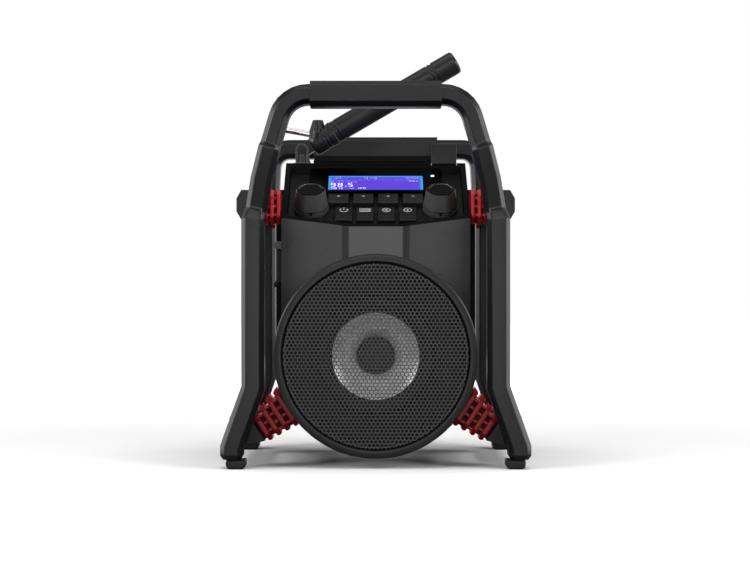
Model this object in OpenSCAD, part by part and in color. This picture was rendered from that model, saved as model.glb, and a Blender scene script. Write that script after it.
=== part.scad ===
// Jobsite radio: a sealed speaker housing hung on rubber bellows inside a tubular roll cage.
// X runs across the radio, -Y is the speaker side, +Z is up. The origin is on the floor.

/* [Roll cage] */
// Depth from the front face of the front arch to the rear face of the rear arch
frame_depth = 239; // [220:1:290]
// Outside width of the upright part of the arches
arch_w = 235; // [222:1:285]
// Height of the middle of the front handle bar
front_bar_z = 328; // [315:1:395]
// Height of the middle of the rear handle bar
rear_bar_z = 293; // [290:1:350]
// Width of the arch tube, seen from the front
tube_w = 20; // [17:0.5:24]
// Depth of the arch tube, seen from the side
tube_depth = 34; // [28:1:41]
// How far each foot stands outside its upright
foot_splay = 18.5; // [12:0.5:24]
// Height at which the legs start to splay
splay_z = 71; // [62:1:85]
// Height of the shoulder where the heavy lower leg ends
shoulder_z = 226; // [215:1:240]
// Height of each rubber foot
foot_h = 8; // [6:0.2:12]
// Length of each hand grip
grip_length = 115; // [96:1:130]

/* [Housing] */
// Width of the housing
housing_w = 167.2; // [150:0.2:180]
// Depth of the housing behind its front side edges
housing_depth = 183; // [170:1:200]
// Wall of the housing shells
wall = 4; // [3:0.2:5]
// Height of the front rim at the side walls
rim_z = 220.2; // [212:0.2:230]
// Tilt of the control panel from level
panel_tilt = 29; // [24:0.5:33]
// Sink of the panel deck below the rim
recess = 6; // [4:0.5:8]

/* [Speaker] */
// Outside diameter of the speaker ring
ring_d = 179; // [160:1:190]
// Height of the speaker's axis
speaker_z = 98.6; // [94:0.2:112]
// Spacing of the grille holes
hole_pitch = 8.6; // [7:0.1:12]
// Width across the flats of a grille hole
hole_w = 6.2; // [4:0.1:6.4]
// Diameter of the silver cone
cone_d = 78; // [66:1:90]
// Diameter of the dust cap
dust_cap_d = 33; // [28:1:38]

/* [Controls] */
// Diameter of each knob
knob_d = 31.2; // [26:0.2:33]
// Height of each knob
knob_h = 17; // [14:0.5:21]
// Diameter of the knob shafts
shaft_d = 6; // [5:0.1:7.2]
// Width of a soft key
soft_key_w = 18.2; // [15:0.1:19]
// Width of a function key
function_key_w = 15; // [12:0.1:17]
// Gap between a key and the deck around it
key_gap = 0.35; // [0.3:0.05:0.6]
// Width of the display
display_w = 86.5; // [72:0.5:104]

/* [Antenna] */
// Diameter of the antenna mast
mast_d = 22; // [17:0.5:24]
// Length of the antenna from its pin to its tip
antenna_length = 167; // [150:1:198]
// Angle of the antenna above level at rest
antenna_rest = 30.2; // [0:0.1:60]
// Diameter of the antenna pin
antenna_pin_d = 4; // [3.4:0.1:5]

/* [Battery] */
// Width of the battery door
door_w = 98; // [82:1:116]
// Height of the battery door
door_h = 84; // [70:1:88]

/* [Hidden] */
$fn = 64;
e = 0.01;             // overshoot of a cut past the face that it opens
big = 600;            // larger than the radio
fit = 0.05;           // radial running clearance of a shaft or pin
loose = 0.3;          // clearance between neighbours that must not touch
charcoal = [0.13, 0.13, 0.14];
black = [0.06, 0.06, 0.065];
red = [0.72, 0.06, 0.09];

// ---- Roll cage ----

leg_x = arch_w / 2 - tube_w / 2;          // middle of an upright
foot_x = leg_x + foot_splay;
bay = frame_depth / 2 - tube_depth;       // inner face of each arch, from the middle of the radio
tube_cut = [4, 6];                        // corner cut of the tube, across and along its depth
waist_set = 8;                            // how far the waist is set back above the shoulder
crease_z = front_bar_z - 47;              // crease below the front handle
handle_set = 2;                           // set-back of the handle above the crease
front_corner = [59, 27];                  // half length of the straight bar, and bend radius
front_lean = 16.8;                        // lean of the front handle's sides from upright
rear_corner = [84.4, 17.6];
rear_lean = 4;
bend_steps = 6;

function unit(v) = v / norm(v);

// Middle line of a bend from a leaning side to the level bar: points [x, z]
function bend(corner, top, lean) = [for (k = [0 : bend_steps])
    let (a = lean + (90 - lean) * k / bend_steps)
    [-corner[0] - corner[1] * cos(a), top - corner[1] + corner[1] * sin(a)]];

// Left half of an arch from foot to bar. A station is [x, z, half width, set-back of the outer face].
function lower_leg() = let (a = tube_w / 2) [
    [-foot_x, foot_h, a - 2.5, 3],
    [-foot_x, foot_h + 4, a, 0],
    [-foot_x, foot_h + 11, a, 0],
    [-leg_x, splay_z, a, 0],
    [-leg_x, shoulder_z - 8, a, 0],
    [-leg_x + 2.2, shoulder_z, a - 0.8, waist_set - 1],
    [-leg_x + 3, shoulder_z + 3, a - 0.5, waist_set]];

function front_half() = let (a = tube_w / 2, arc = bend(front_corner, front_bar_z, front_lean),
        side_x = arc[0][0] - (arc[0][1] - crease_z) * tan(front_lean)) concat(lower_leg(), [
    [(side_x - leg_x + 3) / 2 - 1.5, (crease_z + shoulder_z) / 2, a - 0.6, waist_set / 2],
    [side_x, crease_z, a - 0.5, 0],
    [side_x + 1.2, crease_z + 3.6, a - 1.2, handle_set]],
    [for (p = arc) [p[0], p[1], a - 1.2, handle_set]]);

function rear_half() = let (a = tube_w / 2) concat(lower_leg(),
    [for (p = bend(rear_corner, rear_bar_z, rear_lean)) [p[0], p[1], a - 0.8, handle_set]]);

// The whole arch, mirrored from its left half
function whole(half) = concat(half, [for (k = [len(half) - 1 : -1 : 0])
    [-half[k][0], half[k][1], half[k][2], half[k][3]]]);

// Ring of the octagonal tube around station k, mitred between its two stretches
function tube_ring(path, k) = let (n = len(path), p = path[k],
        here = [p[0], p[1]],
        before = k > 0 ? unit(here - [path[k - 1][0], path[k - 1][1]]) : [0, 1],
        after = k < n - 1 ? unit([path[k + 1][0], path[k + 1][1]] - here) : [0, -1],
        along = unit(before + after), out = [-along[1], along[0]], stretch = 1 / (along * after),
        a = p[2], front = -frame_depth / 2 + p[3], back = -bay, c = tube_cut)
    [for (q = [[-a, front + c[1]], [-a + c[0], front], [a - c[0], front], [a, front + c[1]],
               [a, back - c[1]], [a - c[0], back], [-a + c[0], back], [-a, back - c[1]]])
        [here[0] + out[0] * q[0] * stretch, q[1], here[1] + out[1] * q[0] * stretch]];

module arch(half) {
    path = whole(half);
    n = len(path);
    polyhedron(
        points = [for (k = [0 : n - 1]) each tube_ring(path, k)],
        faces = concat([[for (j = [0 : 7]) j]], [[for (j = [7 : -1 : 0]) (n - 1) * 8 + j]],
            [for (k = [0 : n - 2], j = [0 : 7]) let (i = (j + 1) % 8)
                each [[k * 8 + j, (k + 1) * 8 + j, (k + 1) * 8 + i], [k * 8 + j, (k + 1) * 8 + i, k * 8 + i]]]),
        convexity = 8);
}

module front_frame() { color(charcoal) arch(front_half()); }
module rear_frame() { color(charcoal) mirror([0, 1, 0]) arch(rear_half()); }

// Outline of a tube or sleeve with cut corners, depth by height
module cut_rect(size, cut) {
    a = size / 2;
    polygon([[-a[0] + cut[0], -a[1]], [a[0] - cut[0], -a[1]], [a[0], -a[1] + cut[1]], [a[0], a[1] - cut[1]],
        [a[0] - cut[0], a[1]], [-a[0] + cut[0], a[1]], [-a[0], a[1] - cut[1]], [-a[0], -a[1] + cut[1]]]);
}

// Runs an outline, drawn in Y and Z, along X about the middle
module along_x(length) { rotate([90, 0, 90]) linear_extrude(length, center = true) children(); }

// Runs an outline, drawn in X and Z, along Y from y0 to y1
module along_y(y0, y1) { translate([0, y1, 0]) rotate([90, 0, 0]) linear_extrude(y1 - y0) children(); }

// Sleeve over a bar whose section is depth by height
module grip(bar, length) {
    skin = [3, 2.5];
    difference() {
        along_x(length) cut_rect(bar + 2 * skin, [tube_cut[1] + 0.8, tube_cut[0] + 0.4]);
        along_x(length + 2 * e) cut_rect(bar + [0.1, 0.1], [tube_cut[1], tube_cut[0]]);
    }
}

front_bar = [tube_depth - handle_set, tube_w - 2.4];
rear_bar = [tube_depth - handle_set, tube_w - 1.6];

module front_grip() {
    color(black) translate([0, -(bay + front_bar[0] / 2), front_bar_z]) grip(front_bar, grip_length);
}
module rear_grip() {
    color(black) translate([0, bay + rear_bar[0] / 2, rear_bar_z]) grip(rear_bar, grip_length + 5);
}

rail = [22.6, 26.6];                        // width and height of a side rail
rail_x = leg_x + 4.8;
rail_z = shoulder_z + 6;
rail_in = rail_x - rail[0] / 2;           // face that carries the upper dampers

module on_sides(side) { mirror([side > 0 ? 1 : 0, 0, 0]) children(); }

module side_rail() {
    color(charcoal) translate([-rail_x, 0, rail_z]) difference() {
        along_y(-bay, bay) cut_rect(rail, [4.3, 7.5]);
        for (y = [-1, 1] * (bay - 46)) translate([-rail[0] / 2 - e, y - 14, -3])
            cube([1.5, 28, 6]);
    }
}
module side_rail_left() { side_rail(); }
module side_rail_right() { on_sides(1) side_rail(); }

foot_in = 3.5;                            // the feet stand inside the middle of the leg's end
module foot_at(y) { for (s = [-1, 1]) translate([s * (foot_x - foot_in), y, 0]) children(); }

module rubber_feet() {
    foot = [17, tube_depth - 8];
    color(black) for (y = [-1, 1] * (bay + tube_depth / 2)) foot_at(y) {
        rotate([90, 0, 0]) linear_extrude(foot[1], center = true)
            polygon([[-foot[0] / 2 + 2.4, 0], [foot[0] / 2 - 2.4, 0], [foot[0] / 2, 2.4],
                [foot[0] / 2, foot_h], [-foot[0] / 2, foot_h], [-foot[0] / 2, 2.4]]);
    }
}

// ---- Dampers ----

front_y = -frame_depth / 2 + 28.5;        // front side edges of the housing
back_y = front_y + housing_depth;
damper_y = [-(bay - 17.5), back_y - 24];  // middle of the front and the rear dampers
damper_d = 30;                            // depth of a bellows
low_tilt = 33.5;                          // fall of the lower dampers' axis
low_seat = [89, 123];                     // housing pad and beam seat, measured from the speaker's axis
low_ribs = 4;
up_ribs = 3;
seat_span = (leg_x - 107) / cos(low_tilt);  // extra reach when the arches are set wider

// A bellows rib across the damper's axis, from z0 to z1: a plate with cut corners and a bevelled first end
module rib(x, thick, z0, z1, depth, bevel = 0) {
    a = thick / 2;
    cut = 1.2;
    intersection() {
        translate([x - a, 0, (z0 + z1) / 2]) rotate([90, 0, 90]) linear_extrude(thick)
            cut_rect([depth, z1 - z0], [6, 6]);
        translate([x, 0, 0]) rotate([90, 0, 0]) linear_extrude(depth + 1, center = true)
            polygon([[-a, z0], [a, z0 + bevel], [a, z1 - cut], [a - cut, z1], [cut - a, z1], [-a, z1 - cut]]);
    }
}

// Posts that bridge two ribs across the trough between them
module posts_between(x, span, z0, z1, depth) {
    for (z = [z0 + 7 : 7.5 : z1 - 5]) translate([x, -depth / 2, z]) cube([span, depth, 2.2]);
}

// Frame of a lower damper: X along its axis from the speaker's axis, Z down its ribs
module low_frame() { translate([0, 0, speaker_z]) rotate([0, 180 - low_tilt, 0]) children(); }

trough = 8;                               // depth of the troughs between the ribs
low_rib = 4.4;                            // thickness of a lower rib
function low_rib_top(i) = -24 + 1.1 * i * i;
function low_rib_end(i) = 13.7 - 0.65 * i;
module lower_damper() {
    span = low_seat[1] + seat_span - low_seat[0];
    pitch = (span - 8.6) / (low_ribs - 1);
    first = low_seat[0] + 4;
    low_frame() {
        for (i = [0 : low_ribs - 1])
            rib(first + pitch * i, low_rib, low_rib_top(i), low_rib_end(i), damper_d, 1.6);
        for (i = [0 : low_ribs - 2])
            posts_between(first + pitch * i, pitch, low_rib_top(i), low_rib_end(i), damper_d - 4);
        rotate([90, 0, 0]) linear_extrude(damper_d - 2 * trough, center = true) polygon([
            [low_seat[0], -15], [first, -15], [low_seat[0] + span - e, -9], [low_seat[0] + span - e, 8],
            [low_seat[0], 11.8]]);
    }
}
module lower_dampers() { color(red) for (y = damper_y) translate([0, y, 0]) lower_damper(); }
module lower_dampers_left() { lower_dampers(); }
module lower_dampers_right() { on_sides(1) lower_dampers(); }

module upper_damper() {
    x0 = housing_w / 2;
    span = rail_in - x0;
    pitch = span / up_ribs;
    translate([0, 0, rail_z - 1]) mirror([1, 0, 0]) {
        for (i = [0 : up_ribs - 1]) rib(x0 + pitch * (i + 0.5), 3.4, -15.7, 15.7 - 0.8 * i, damper_d);
        for (i = [0 : up_ribs - 2])
            posts_between(x0 + pitch * (i + 0.5), pitch, -15.7, 15, damper_d - 3);
        translate([x0, -damper_d / 2 + trough, -11]) cube([span, damper_d - 2 * trough, 22]);
    }
}
module upper_dampers() { color(red) for (y = damper_y) translate([0, y, 0]) upper_damper(); }
module upper_dampers_left() { upper_dampers(); }
module upper_dampers_right() { on_sides(1) upper_dampers(); }

// Point of the lower damper's frame in the radio's own X and Z
function low_point(x, z) = [-x * cos(low_tilt) + z * sin(low_tilt),
    speaker_z - x * sin(low_tilt) - z * cos(low_tilt)];

beam_out = leg_x + 19;                    // outer face of a lower beam
module lower_beam() {
    seat = low_seat[1] + seat_span;
    color(charcoal) along_y(-bay, bay) polygon([low_point(seat, -16), low_point(seat, 9),
        [-leg_x - 3, 19], [-beam_out + 2, 20], [-beam_out, 27], [-beam_out, 46], [-beam_out + 9, 54]]);
}
module lower_beam_left() { lower_beam(); }
module lower_beam_right() { on_sides(1) lower_beam(); }

module damper_plugs() {
    color(red) for (s = [-1, 1], y = damper_y) translate([s * beam_out, y, 39])
        rotate([0, s * 90, 0]) { cylinder(h = 2.4, d = 13); cylinder(h = 4.2, d = 8.5); }
}

// ---- Housing ----

pin_x = -68.7;                            // the antenna's pin, across the radio
clip_from_pin = [121, 144];               // where the parking clip starts and ends

bulge = [29.7, 12.8];                     // half width and throw of the middle front facet
plate_step = [23.7, 1.5];                 // half width and throw of the raised middle plate
rim_run = 94;                             // level run of the panel from its side edges to its top
top_run = 31;                             // level run of the flat top
split_gap = 1.2;                          // space for the seal between the shells
split_y = front_y + rim_run + top_run;
top_z = rim_z + rim_run * tan(panel_tilt);
back_rim_z = top_z - 32;                  // top of the housing's back
center_y = front_y - bulge[1];            // middle front facet
ring_seat_y = center_y - 1.8;             // front face of the speaker tub
tub_r = ring_d / 2 - 2.5;
low_r = housing_w / 2;

module front_outline(t) {
    translate([0, speaker_z]) circle(r = low_r - t, $fn = 128);
    translate([-low_r + t, speaker_z]) square([2 * (low_r - t), big]);
}
module side_outline(t) {
    drop = t / cos(panel_tilt);
    polygon([[-big, rim_z - (big + front_y) * tan(panel_tilt) - drop], [front_y + rim_run, top_z - drop],
        [split_y, top_z - t], [back_y - t, back_rim_z - t], [back_y - t, -e], [-big, -e]]);
}
module plan_outline(t) {
    polygon([[-low_r + t, front_y + t], [-bulge[0], center_y + t],
        [-plate_step[0], center_y - plate_step[1] + t], [plate_step[0], center_y - plate_step[1] + t],
        [bulge[0], center_y + t], [low_r - t, front_y + t], [low_r - t, back_y], [-low_r + t, back_y]]);
}

// The housing's full body, every face moved in by t
module body(t) {
    intersection() {
        along_y(-big, big) front_outline(t);
        along_x(big) side_outline(t);
        linear_extrude(big) plan_outline(t);
    }
}

module half_space(y0, y1) { translate([-big / 2, y0, -e]) cube([big, y1 - y0, big]); }

// Frame of the control panel: X across, Y up the slope, Z out of the rim plane
module on_panel() { translate([0, front_y, rim_z]) rotate([panel_tilt, 0, 0]) children(); }
module above_panel(z0, z1 = 200) { on_panel() translate([-big / 2, -150, z0]) cube([big, big, z1 - z0]); }

rim_wall = 4.6;
deck_thick = 3;
deck_end = front_y + rim_run - 3;         // back wall of the panel recess
ledge = 5;
module panel_well(t) {
    intersection() {
        linear_extrude(big) plan_outline(t);
        half_space(-big / 2, deck_end);
    }
}

module speaker_frame() { translate([0, 0, speaker_z]) rotate([90, 0, 0]) children(); }
// A round body about the speaker's axis, from y0 back to y1
module disc(y0, y1, r) { translate([0, y1, 0]) speaker_frame() cylinder(h = y1 - y0, r = r, $fn = 128); }

cone_seat_r = 57;
flange_r = ring_d / 2 - 10.5;
screw_r = flange_r - 4;
screw_angles = [25, 50, 130, 155, 234, 306];
module at_speaker_screws(y) {
    for (a = screw_angles) translate([0, y, 0]) speaker_frame() rotate(a) translate([screw_r, 0, 0]) children();
}

bolt_in = low_r - 7;                      // the bolts from the middle, against the side walls
corner_bolts = [for (s = [-1, 1]) each [[s * bolt_in, back_rim_z - 9], [s * bolt_in, speaker_z + 22],
    [s * bolt_in * cos(50), speaker_z - bolt_in * sin(50)]]];
module at_bolts(y) { for (p = corner_bolts) translate([p[0], y, p[1]]) rotate([90, 0, 0]) children(); }

cover_y = -44;                            // middle of the port cover, front to back
cover = [36, 30];                         // length and height of the port cover
cover_pin = [4.6, rim_z - 23.5];          // stand-off and height of its hinge
port_mid_z = cover_pin[1] - 18;
port_size = [28, 22];

module front_housing() {
    color(charcoal) {
        difference() {
            union() {
                intersection() { body(0); half_space(-big, split_y); }
                disc(ring_seat_y, ring_seat_y + 30, tub_r);
                housing_pads(damper_y[0]);
                top_lip();
                seam_flanges(split_y - flange[1], split_y);
            }
            intersection() { body(wall); half_space(-big, split_y + e); above_cut(); }
            disc(ring_seat_y + wall, ring_seat_y + 32, tub_r - wall);
            disc(ring_seat_y - e, ring_seat_y + wall + e, cone_seat_r + 0.5);
            intersection() { panel_well(rim_wall); above_panel(-recess - deck_thick); }
            intersection() { panel_well(rim_wall + ledge); above_panel(-40); }
            translate([-low_r - e, cover_y - port_size[0] / 2, port_mid_z - port_size[1] / 2])
                cube([wall + 2 * e, port_size[0], port_size[1]]);
            at_speaker_screws(ring_seat_y + wall + e) cylinder(h = wall + 2 * e, d = 3.4);
        }
        cover_hinge();
        front_bosses();
    }
}

// Keeps the cavity below the panel's ledge
module above_cut() {
    difference() {
        cube([big, big, big], center = true);
        above_panel(-recess - deck_thick - ledge);
    }
    translate([-big / 2, deck_end + wall, 0]) cube([big, big, big]);
}

// Flat pads that the lower dampers push against
module housing_pads(y) {
    for (s = [0, 1]) mirror([s, 0, 0]) translate([0, y, 0]) low_frame()
        translate([72, -damper_d / 2 - 2, -23]) cube([low_seat[0] - 72, damper_d + 4, 35]);
}

// Side flanges along the seam of the shells: reach and depth, with their lower and upper ends
flange = [10.4, 6];
flange_z = [96, 250.6];
module seam_flanges(y0, y1) {
    for (s = [0, 1]) mirror([s, 0, 0]) along_y(y0, y1) polygon([
        [-low_r + wall / 2, flange_z[0] - 8], [-low_r, flange_z[0] - 8], [-low_r - flange[0], flange_z[0]],
        [-low_r - flange[0], flange_z[1] - 1.5], [-low_r - flange[0] + 1.5, flange_z[1]],
        [-low_r + wall / 2, flange_z[1]]]);
}

// Lip that carries the panel's slope on above the housing's flat top, with a ridge in its middle
lip_y = [front_y + rim_run, front_y + rim_run + 4];
ridge_h = 4.7;
ridge_x = [-58, 51.6];                    // ends of the ridge
module lip_profile(x0, x1, points) {
    translate([x0, 0, 0]) rotate([90, 0, 90]) linear_extrude(x1 - x0) polygon(points);
}
module top_lip() {
    run = lip_y[1] - lip_y[0];
    slope = [[lip_y[0], top_z - 1], [lip_y[0], top_z], [lip_y[1], top_z + run * tan(panel_tilt)],
        [lip_y[1], top_z - 1]];
    lip_profile(-low_r, ridge_x[1], slope);
    lip_profile(pin_x + clip_from_pin[1] + loose, low_r, slope);
    lip_profile(ridge_x[0], ridge_x[1], [[lip_y[0] + 2, top_z - 1], [lip_y[0] + 2, top_z + 1],
        [lip_y[0] + 2.4, top_z + ridge_h], [lip_y[1], top_z + ridge_h], [lip_y[1], top_z - 1]]);
}

module cover_hinge() {
    x = -low_r - cover_pin[0];
    for (y = [cover_y - cover[0] / 2 - 4, cover_y + cover[0] / 2 + 0.3]) along_y(y, y + 3.7) {
        translate([x, cover_pin[1]]) circle(r = 3.4);
        translate([x, cover_pin[1] - 3.4]) square([cover_pin[0] + wall / 2, 6.8]);
    }
    translate([x, cover_y + cover[0] / 2 + 1, cover_pin[1]]) rotate([90, 0, 0])
        cylinder(h = cover[0] + 2, d = 3);
}

boss_d = 9;
module boss(p, y0, y1) {
    difference() {
        intersection() {
            translate([p[0], y1, p[1]]) rotate([90, 0, 0]) cylinder(h = y1 - y0, d = boss_d);
            body(wall / 2);
        }
        translate([p[0], y1 + e, p[1]]) rotate([90, 0, 0]) cylinder(h = y1 - y0 + 2 * e, d = 4.2);
    }
}
module front_bosses() { for (p = corner_bolts) boss(p, split_y - 16, split_y); }

door_z = 68;                              // height of the battery door's hinge
bay_wall = 3;
bay_in = [door_w - 8, 46, door_h - 8];    // inside of the battery bay
bay_y = back_y - wall;                    // mouth of the bay
module bay_box(t) {
    translate([-bay_in[0] / 2 - t, bay_y - bay_in[1] - t, door_z + 4 - t])
        cube([bay_in[0] + 2 * t, bay_in[1] + t, bay_in[2] + 2 * t]);
}
hinge_y = back_y + loose + 3.4;
hinge_half = 26;

module rear_housing() {
    color(charcoal) {
        difference() {
            union() {
                difference() {
                    union() {
                        intersection() { body(0); half_space(split_y + split_gap, big); }
                        housing_pads(damper_y[1]);
                        seam_flanges(split_y + split_gap, split_y + split_gap + flange[1]);
                    }
                    intersection() { body(wall); half_space(split_y, back_y - wall); }
                }
                bay_box(bay_wall);
                for (p = corner_bolts) boss(p, split_y + split_gap, back_y - wall + e);
            }
            translate([0, e, 0]) bay_box(0);
            translate([-bay_in[0] / 2, bay_y - 1, door_z + 4]) cube([bay_in[0], wall + 2, bay_in[2]]);
            at_bolts(back_y + e) cylinder(h = 3, d = 8);
            at_bolts(back_y + e) cylinder(h = 30, d = 4.2);
        }
        for (x = [-hinge_half - 6.3, hinge_half + 0.3]) along_door_ear(x, 6);
        translate([-hinge_half - 1, hinge_y, door_z]) rotate([0, 90, 0])
            cylinder(h = 2 * hinge_half + 2, d = 3);
    }
}
module along_door_ear(x, length) {
    translate([x, 0, 0]) rotate([90, 0, 90]) linear_extrude(length) {
        translate([hinge_y, door_z]) circle(r = 3.4);
        translate([back_y - wall / 2, door_z - 3.4]) square([hinge_y - back_y + wall / 2, 6.8]);
    }
}

module housing_seal() {
    color(black) along_y(split_y, split_y + split_gap) intersection() {
        difference() { front_outline(0.8); front_outline(wall - 0.8); }
        translate([-big / 2, 0]) square([big, top_z - 0.8]);
    }
    color(black) along_y(split_y, split_y + split_gap)
        translate([-low_r + wall - 0.8, top_z - wall + 0.8]) square([2 * (low_r - wall + 0.8), wall - 1.6]);
}

module housing_screws() {
    length = back_y - split_y + 8;
    color("silver") at_bolts(back_y - 0.5) {
        difference() { cylinder(h = 2.4, d = 7.2); translate([0, 0, -e]) cylinder(h = 1.6, d = 3.4, $fn = 6); }
        translate([0, 0, 2.4]) cylinder(h = length - 2.4, d = 4);
    }
}

// ---- Speaker ----

ring_y = -frame_depth / 2 + 5.5;          // front face of the ring
grille_r = ring_d / 2 - 7.6;
grille_thick = 1.2;
grille_y = ring_y + 1.6;

module speaker_ring() {
    r = ring_d / 2;
    depth = ring_seat_y - ring_y;
    lip = grille_r + 0.7;
    color(charcoal) translate([0, ring_seat_y, 0]) speaker_frame() rotate_extrude($fn = 128)
        polygon([[flange_r + 0.4, 0], [r - 1, 0], [r, 1], [r, depth - 2.2], [r - 0.7, depth - 0.7],
            [r - 2.2, depth], [lip + 0.8, depth], [lip, depth - 0.8],
            [lip, depth - 1.6 - grille_thick], [flange_r + 0.4, depth - 1.6 - grille_thick]]);
}

row = hole_pitch * sin(60);
rows = floor(grille_r / row) + 1;
hole_r = hole_w / 2 / cos(30);
module speaker_grille() {
    color(black) translate([0, grille_y + grille_thick, 0]) speaker_frame() linear_extrude(grille_thick)
        difference() {
            circle(r = grille_r, $fn = 128);
            for (j = [-rows : rows], i = [-rows : rows]) let (x = (i + (j % 2) / 2) * hole_pitch, y = j * row)
                if (norm([x, y]) < grille_r - hole_pitch * 0.75)
                    translate([x, y]) rotate(30) circle(r = hole_r, $fn = 6);
        }
}

basket_depth = 34;
magnet_r = 36;
cone_r = cone_d / 2;
cap_r = dust_cap_d / 2;
cone_back = 20;                           // depth of the cone

module speaker_basket() {
    color([0.2, 0.2, 0.21]) translate([0, ring_seat_y, 0]) speaker_frame() difference() {
        rotate_extrude($fn = 128) polygon([[cone_seat_r, 0], [flange_r, 0], [flange_r, 2.6],
            [cone_seat_r - 2, 2.6], [cone_seat_r - 2, 0], [magnet_r + 2, -basket_depth + 3],
            [cap_r + 4, -basket_depth + 3], [cap_r + 4, -basket_depth], [magnet_r + 3.5, -basket_depth],
            [cone_seat_r, -1]]);
        for (k = [0 : 5]) rotate(k * 60 + 30) translate([magnet_r + 6, -11, -basket_depth + 6])
            cube([30, 22, basket_depth - 12]);
        for (a = screw_angles) rotate(a) translate([screw_r, 0, -e]) cylinder(h = 3, d = 3.4);
    }
}

module speaker_surround() {
    roll = [for (k = [0 : 8]) let (a = 180 * k / 8) [50.5 + 5 * cos(a), 2.7 + 2.2 * sin(a)]];
    inner = [for (k = [8 : -1 : 0]) let (a = 180 * k / 8) [50.5 + 4.2 * cos(a), 2.65 + 1.4 * sin(a)]];
    color(black) translate([0, ring_seat_y, 0]) speaker_frame() rotate_extrude($fn = 128)
        polygon(concat([[cone_seat_r - 0.2, 2.7], [cone_seat_r - 0.2, 3.6], [56, 3.6]], roll,
            [[cone_r + 0.3, 1.8], [cone_r + 0.3, 0.9]], inner));
}

module speaker_cone() {
    color("silver") translate([0, ring_seat_y, 0]) speaker_frame() rotate_extrude($fn = 128)
        polygon([[cone_r, 1.6], [cone_r, 0.8], [cone_r * 0.72, -7.4], [cap_r + 0.6, -cone_back],
            [cap_r + 0.6, -cone_back + 2], [cone_r * 0.72, -6.4]]);
}

module dust_cap() {
    color(black) translate([0, ring_seat_y + cone_back - 1, 0]) speaker_frame() rotate_extrude($fn = 96)
        polygon(concat([[0, 0], [cap_r + 0.4, 0]], [for (k = [0 : 8]) let (a = 90 * k / 8)
            [cap_r * cos(a), 1 + 6 * sin(a)]]));
}

module voice_coil() {
    color("peru") translate([0, ring_seat_y + cone_back - 0.9, 0]) speaker_frame() mirror([0, 0, 1])
        difference() {
            cylinder(h = 22, r = cap_r - 0.6);
            translate([0, 0, -e]) cylinder(h = 23, r = cap_r - 1.8);
        }
}

module speaker_spider() {
    wave = [for (k = [0 : 6]) [cap_r - 0.2 + k * (magnet_r - cap_r - 1) / 6, k % 2 == 0 ? 0 : 1.6]];
    back = [for (k = [6 : -1 : 0]) [cap_r - 0.2 + k * (magnet_r - cap_r - 1) / 6, k % 2 == 0 ? -1 : 0.6]];
    color("goldenrod") translate([0, ring_seat_y + basket_depth - 4.2, 0]) speaker_frame()
        rotate_extrude($fn = 96) polygon(concat(wave, back));
}

module speaker_magnet() {
    color([0.25, 0.25, 0.27]) translate([0, ring_seat_y + basket_depth, 0]) speaker_frame() mirror([0, 0, 1]) {
        difference() {
            union() {
                cylinder(h = 5, r = magnet_r + 2);
                translate([0, 0, 5]) cylinder(h = 14, r = magnet_r + 6);
            }
            translate([0, 0, -e]) cylinder(h = 15, r = cap_r + 0.4);
        }
        translate([0, 0, 2]) cylinder(h = 17, r = cap_r - 2.4);
        translate([0, 0, 19]) cylinder(h = 4, r = magnet_r + 3);
    }
}

module speaker_screws() {
    color("silver") at_speaker_screws(ring_seat_y - 2.6) {
        difference() { cylinder(h = 1.6, d = 6); translate([0, 0, 0.6]) cylinder(h = 1.2, d = 2.4, $fn = 6); }
        translate([0, 0, -7]) cylinder(h = 7, d = 3.2);
    }
}

// ---- Controls ----

knob_at = [57.9, 27];                     // place of the tuning knob on the panel
soft_row = [41.8, 22.4, 17.6];            // middle up the slope, spacing and length of the soft keys
function_row = [12, 19, 22];              // the same for the function keys
deck_top = -recess;
board_top = deck_top - 16;
display = [display_w, 30];
display_mid = 72.8;
bezel = [display_w + 35.5, 49];
bezel_mid = display_mid + 6.2;
bezel_thick = recess - 1;
led_at = [52.3, 86.8];

function soft_x(i) = (i - 2.5) * soft_row[1];
function function_x(i) = (i - 2.5) * function_row[1];

module at_knobs(z) { on_panel() for (s = [-1, 1]) translate([s * knob_at[0], knob_at[1], z]) children(); }
module box_at(x, y, size, z0, z1) {
    translate([x - size[0] / 2, y - size[1] / 2, z0]) cube([size[0], size[1], z1 - z0]);
}

posts = [[-64, 60], [64, 60], [-64, 6], [64, 6]];
module panel_deck() {
    color(black) {
        difference() {
            intersection() {
                panel_well(rim_wall + loose / 2);
                above_panel(-recess - deck_thick, -recess);
            }
            on_panel() {
                for (i = [1 : 4]) {
                    box_at(soft_x(i), soft_row[0], [soft_key_w, soft_row[2]] + [1, 1] * 2 * key_gap, -20, 0);
                    box_at(function_x(i), function_row[0],
                        [function_key_w, function_row[2]] + [1, 1] * 2 * key_gap, -20, 0);
                }
            }
            at_knobs(-20) cylinder(h = 20, d = shaft_d + 1.2);
        }
        on_panel() for (p = posts) translate([p[0], p[1], board_top]) cylinder(h = 16 - deck_thick, d = 6);
    }
}

module display_bezel() {
    color(black) difference() {
        intersection() {
            on_panel() translate([0, bezel_mid, deck_top]) linear_extrude(bezel_thick)
                cut_rect(bezel, [3, 3]);
            half_space(-big / 2, deck_end - loose);
        }
        on_panel() {
            box_at(0, display_mid, display, deck_top - e, 0);
            translate([led_at[0], led_at[1], deck_top - e]) cylinder(h = recess, d = 3.4);
        }
    }
}
module display_screen() {
    color("mediumslateblue") on_panel() box_at(0, display_mid, display - [0.3, 0.3], deck_top, -1.5);
}
module status_led() {
    color("deepskyblue") on_panel() translate([led_at[0], led_at[1], deck_top])
        cylinder(h = bezel_thick + 0.3, d = 3.2);
}

board = [146, 78];
module main_board() {
    color("darkgreen") on_panel() box_at(0, 33, board, board_top - 1.6, board_top);
}

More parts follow.
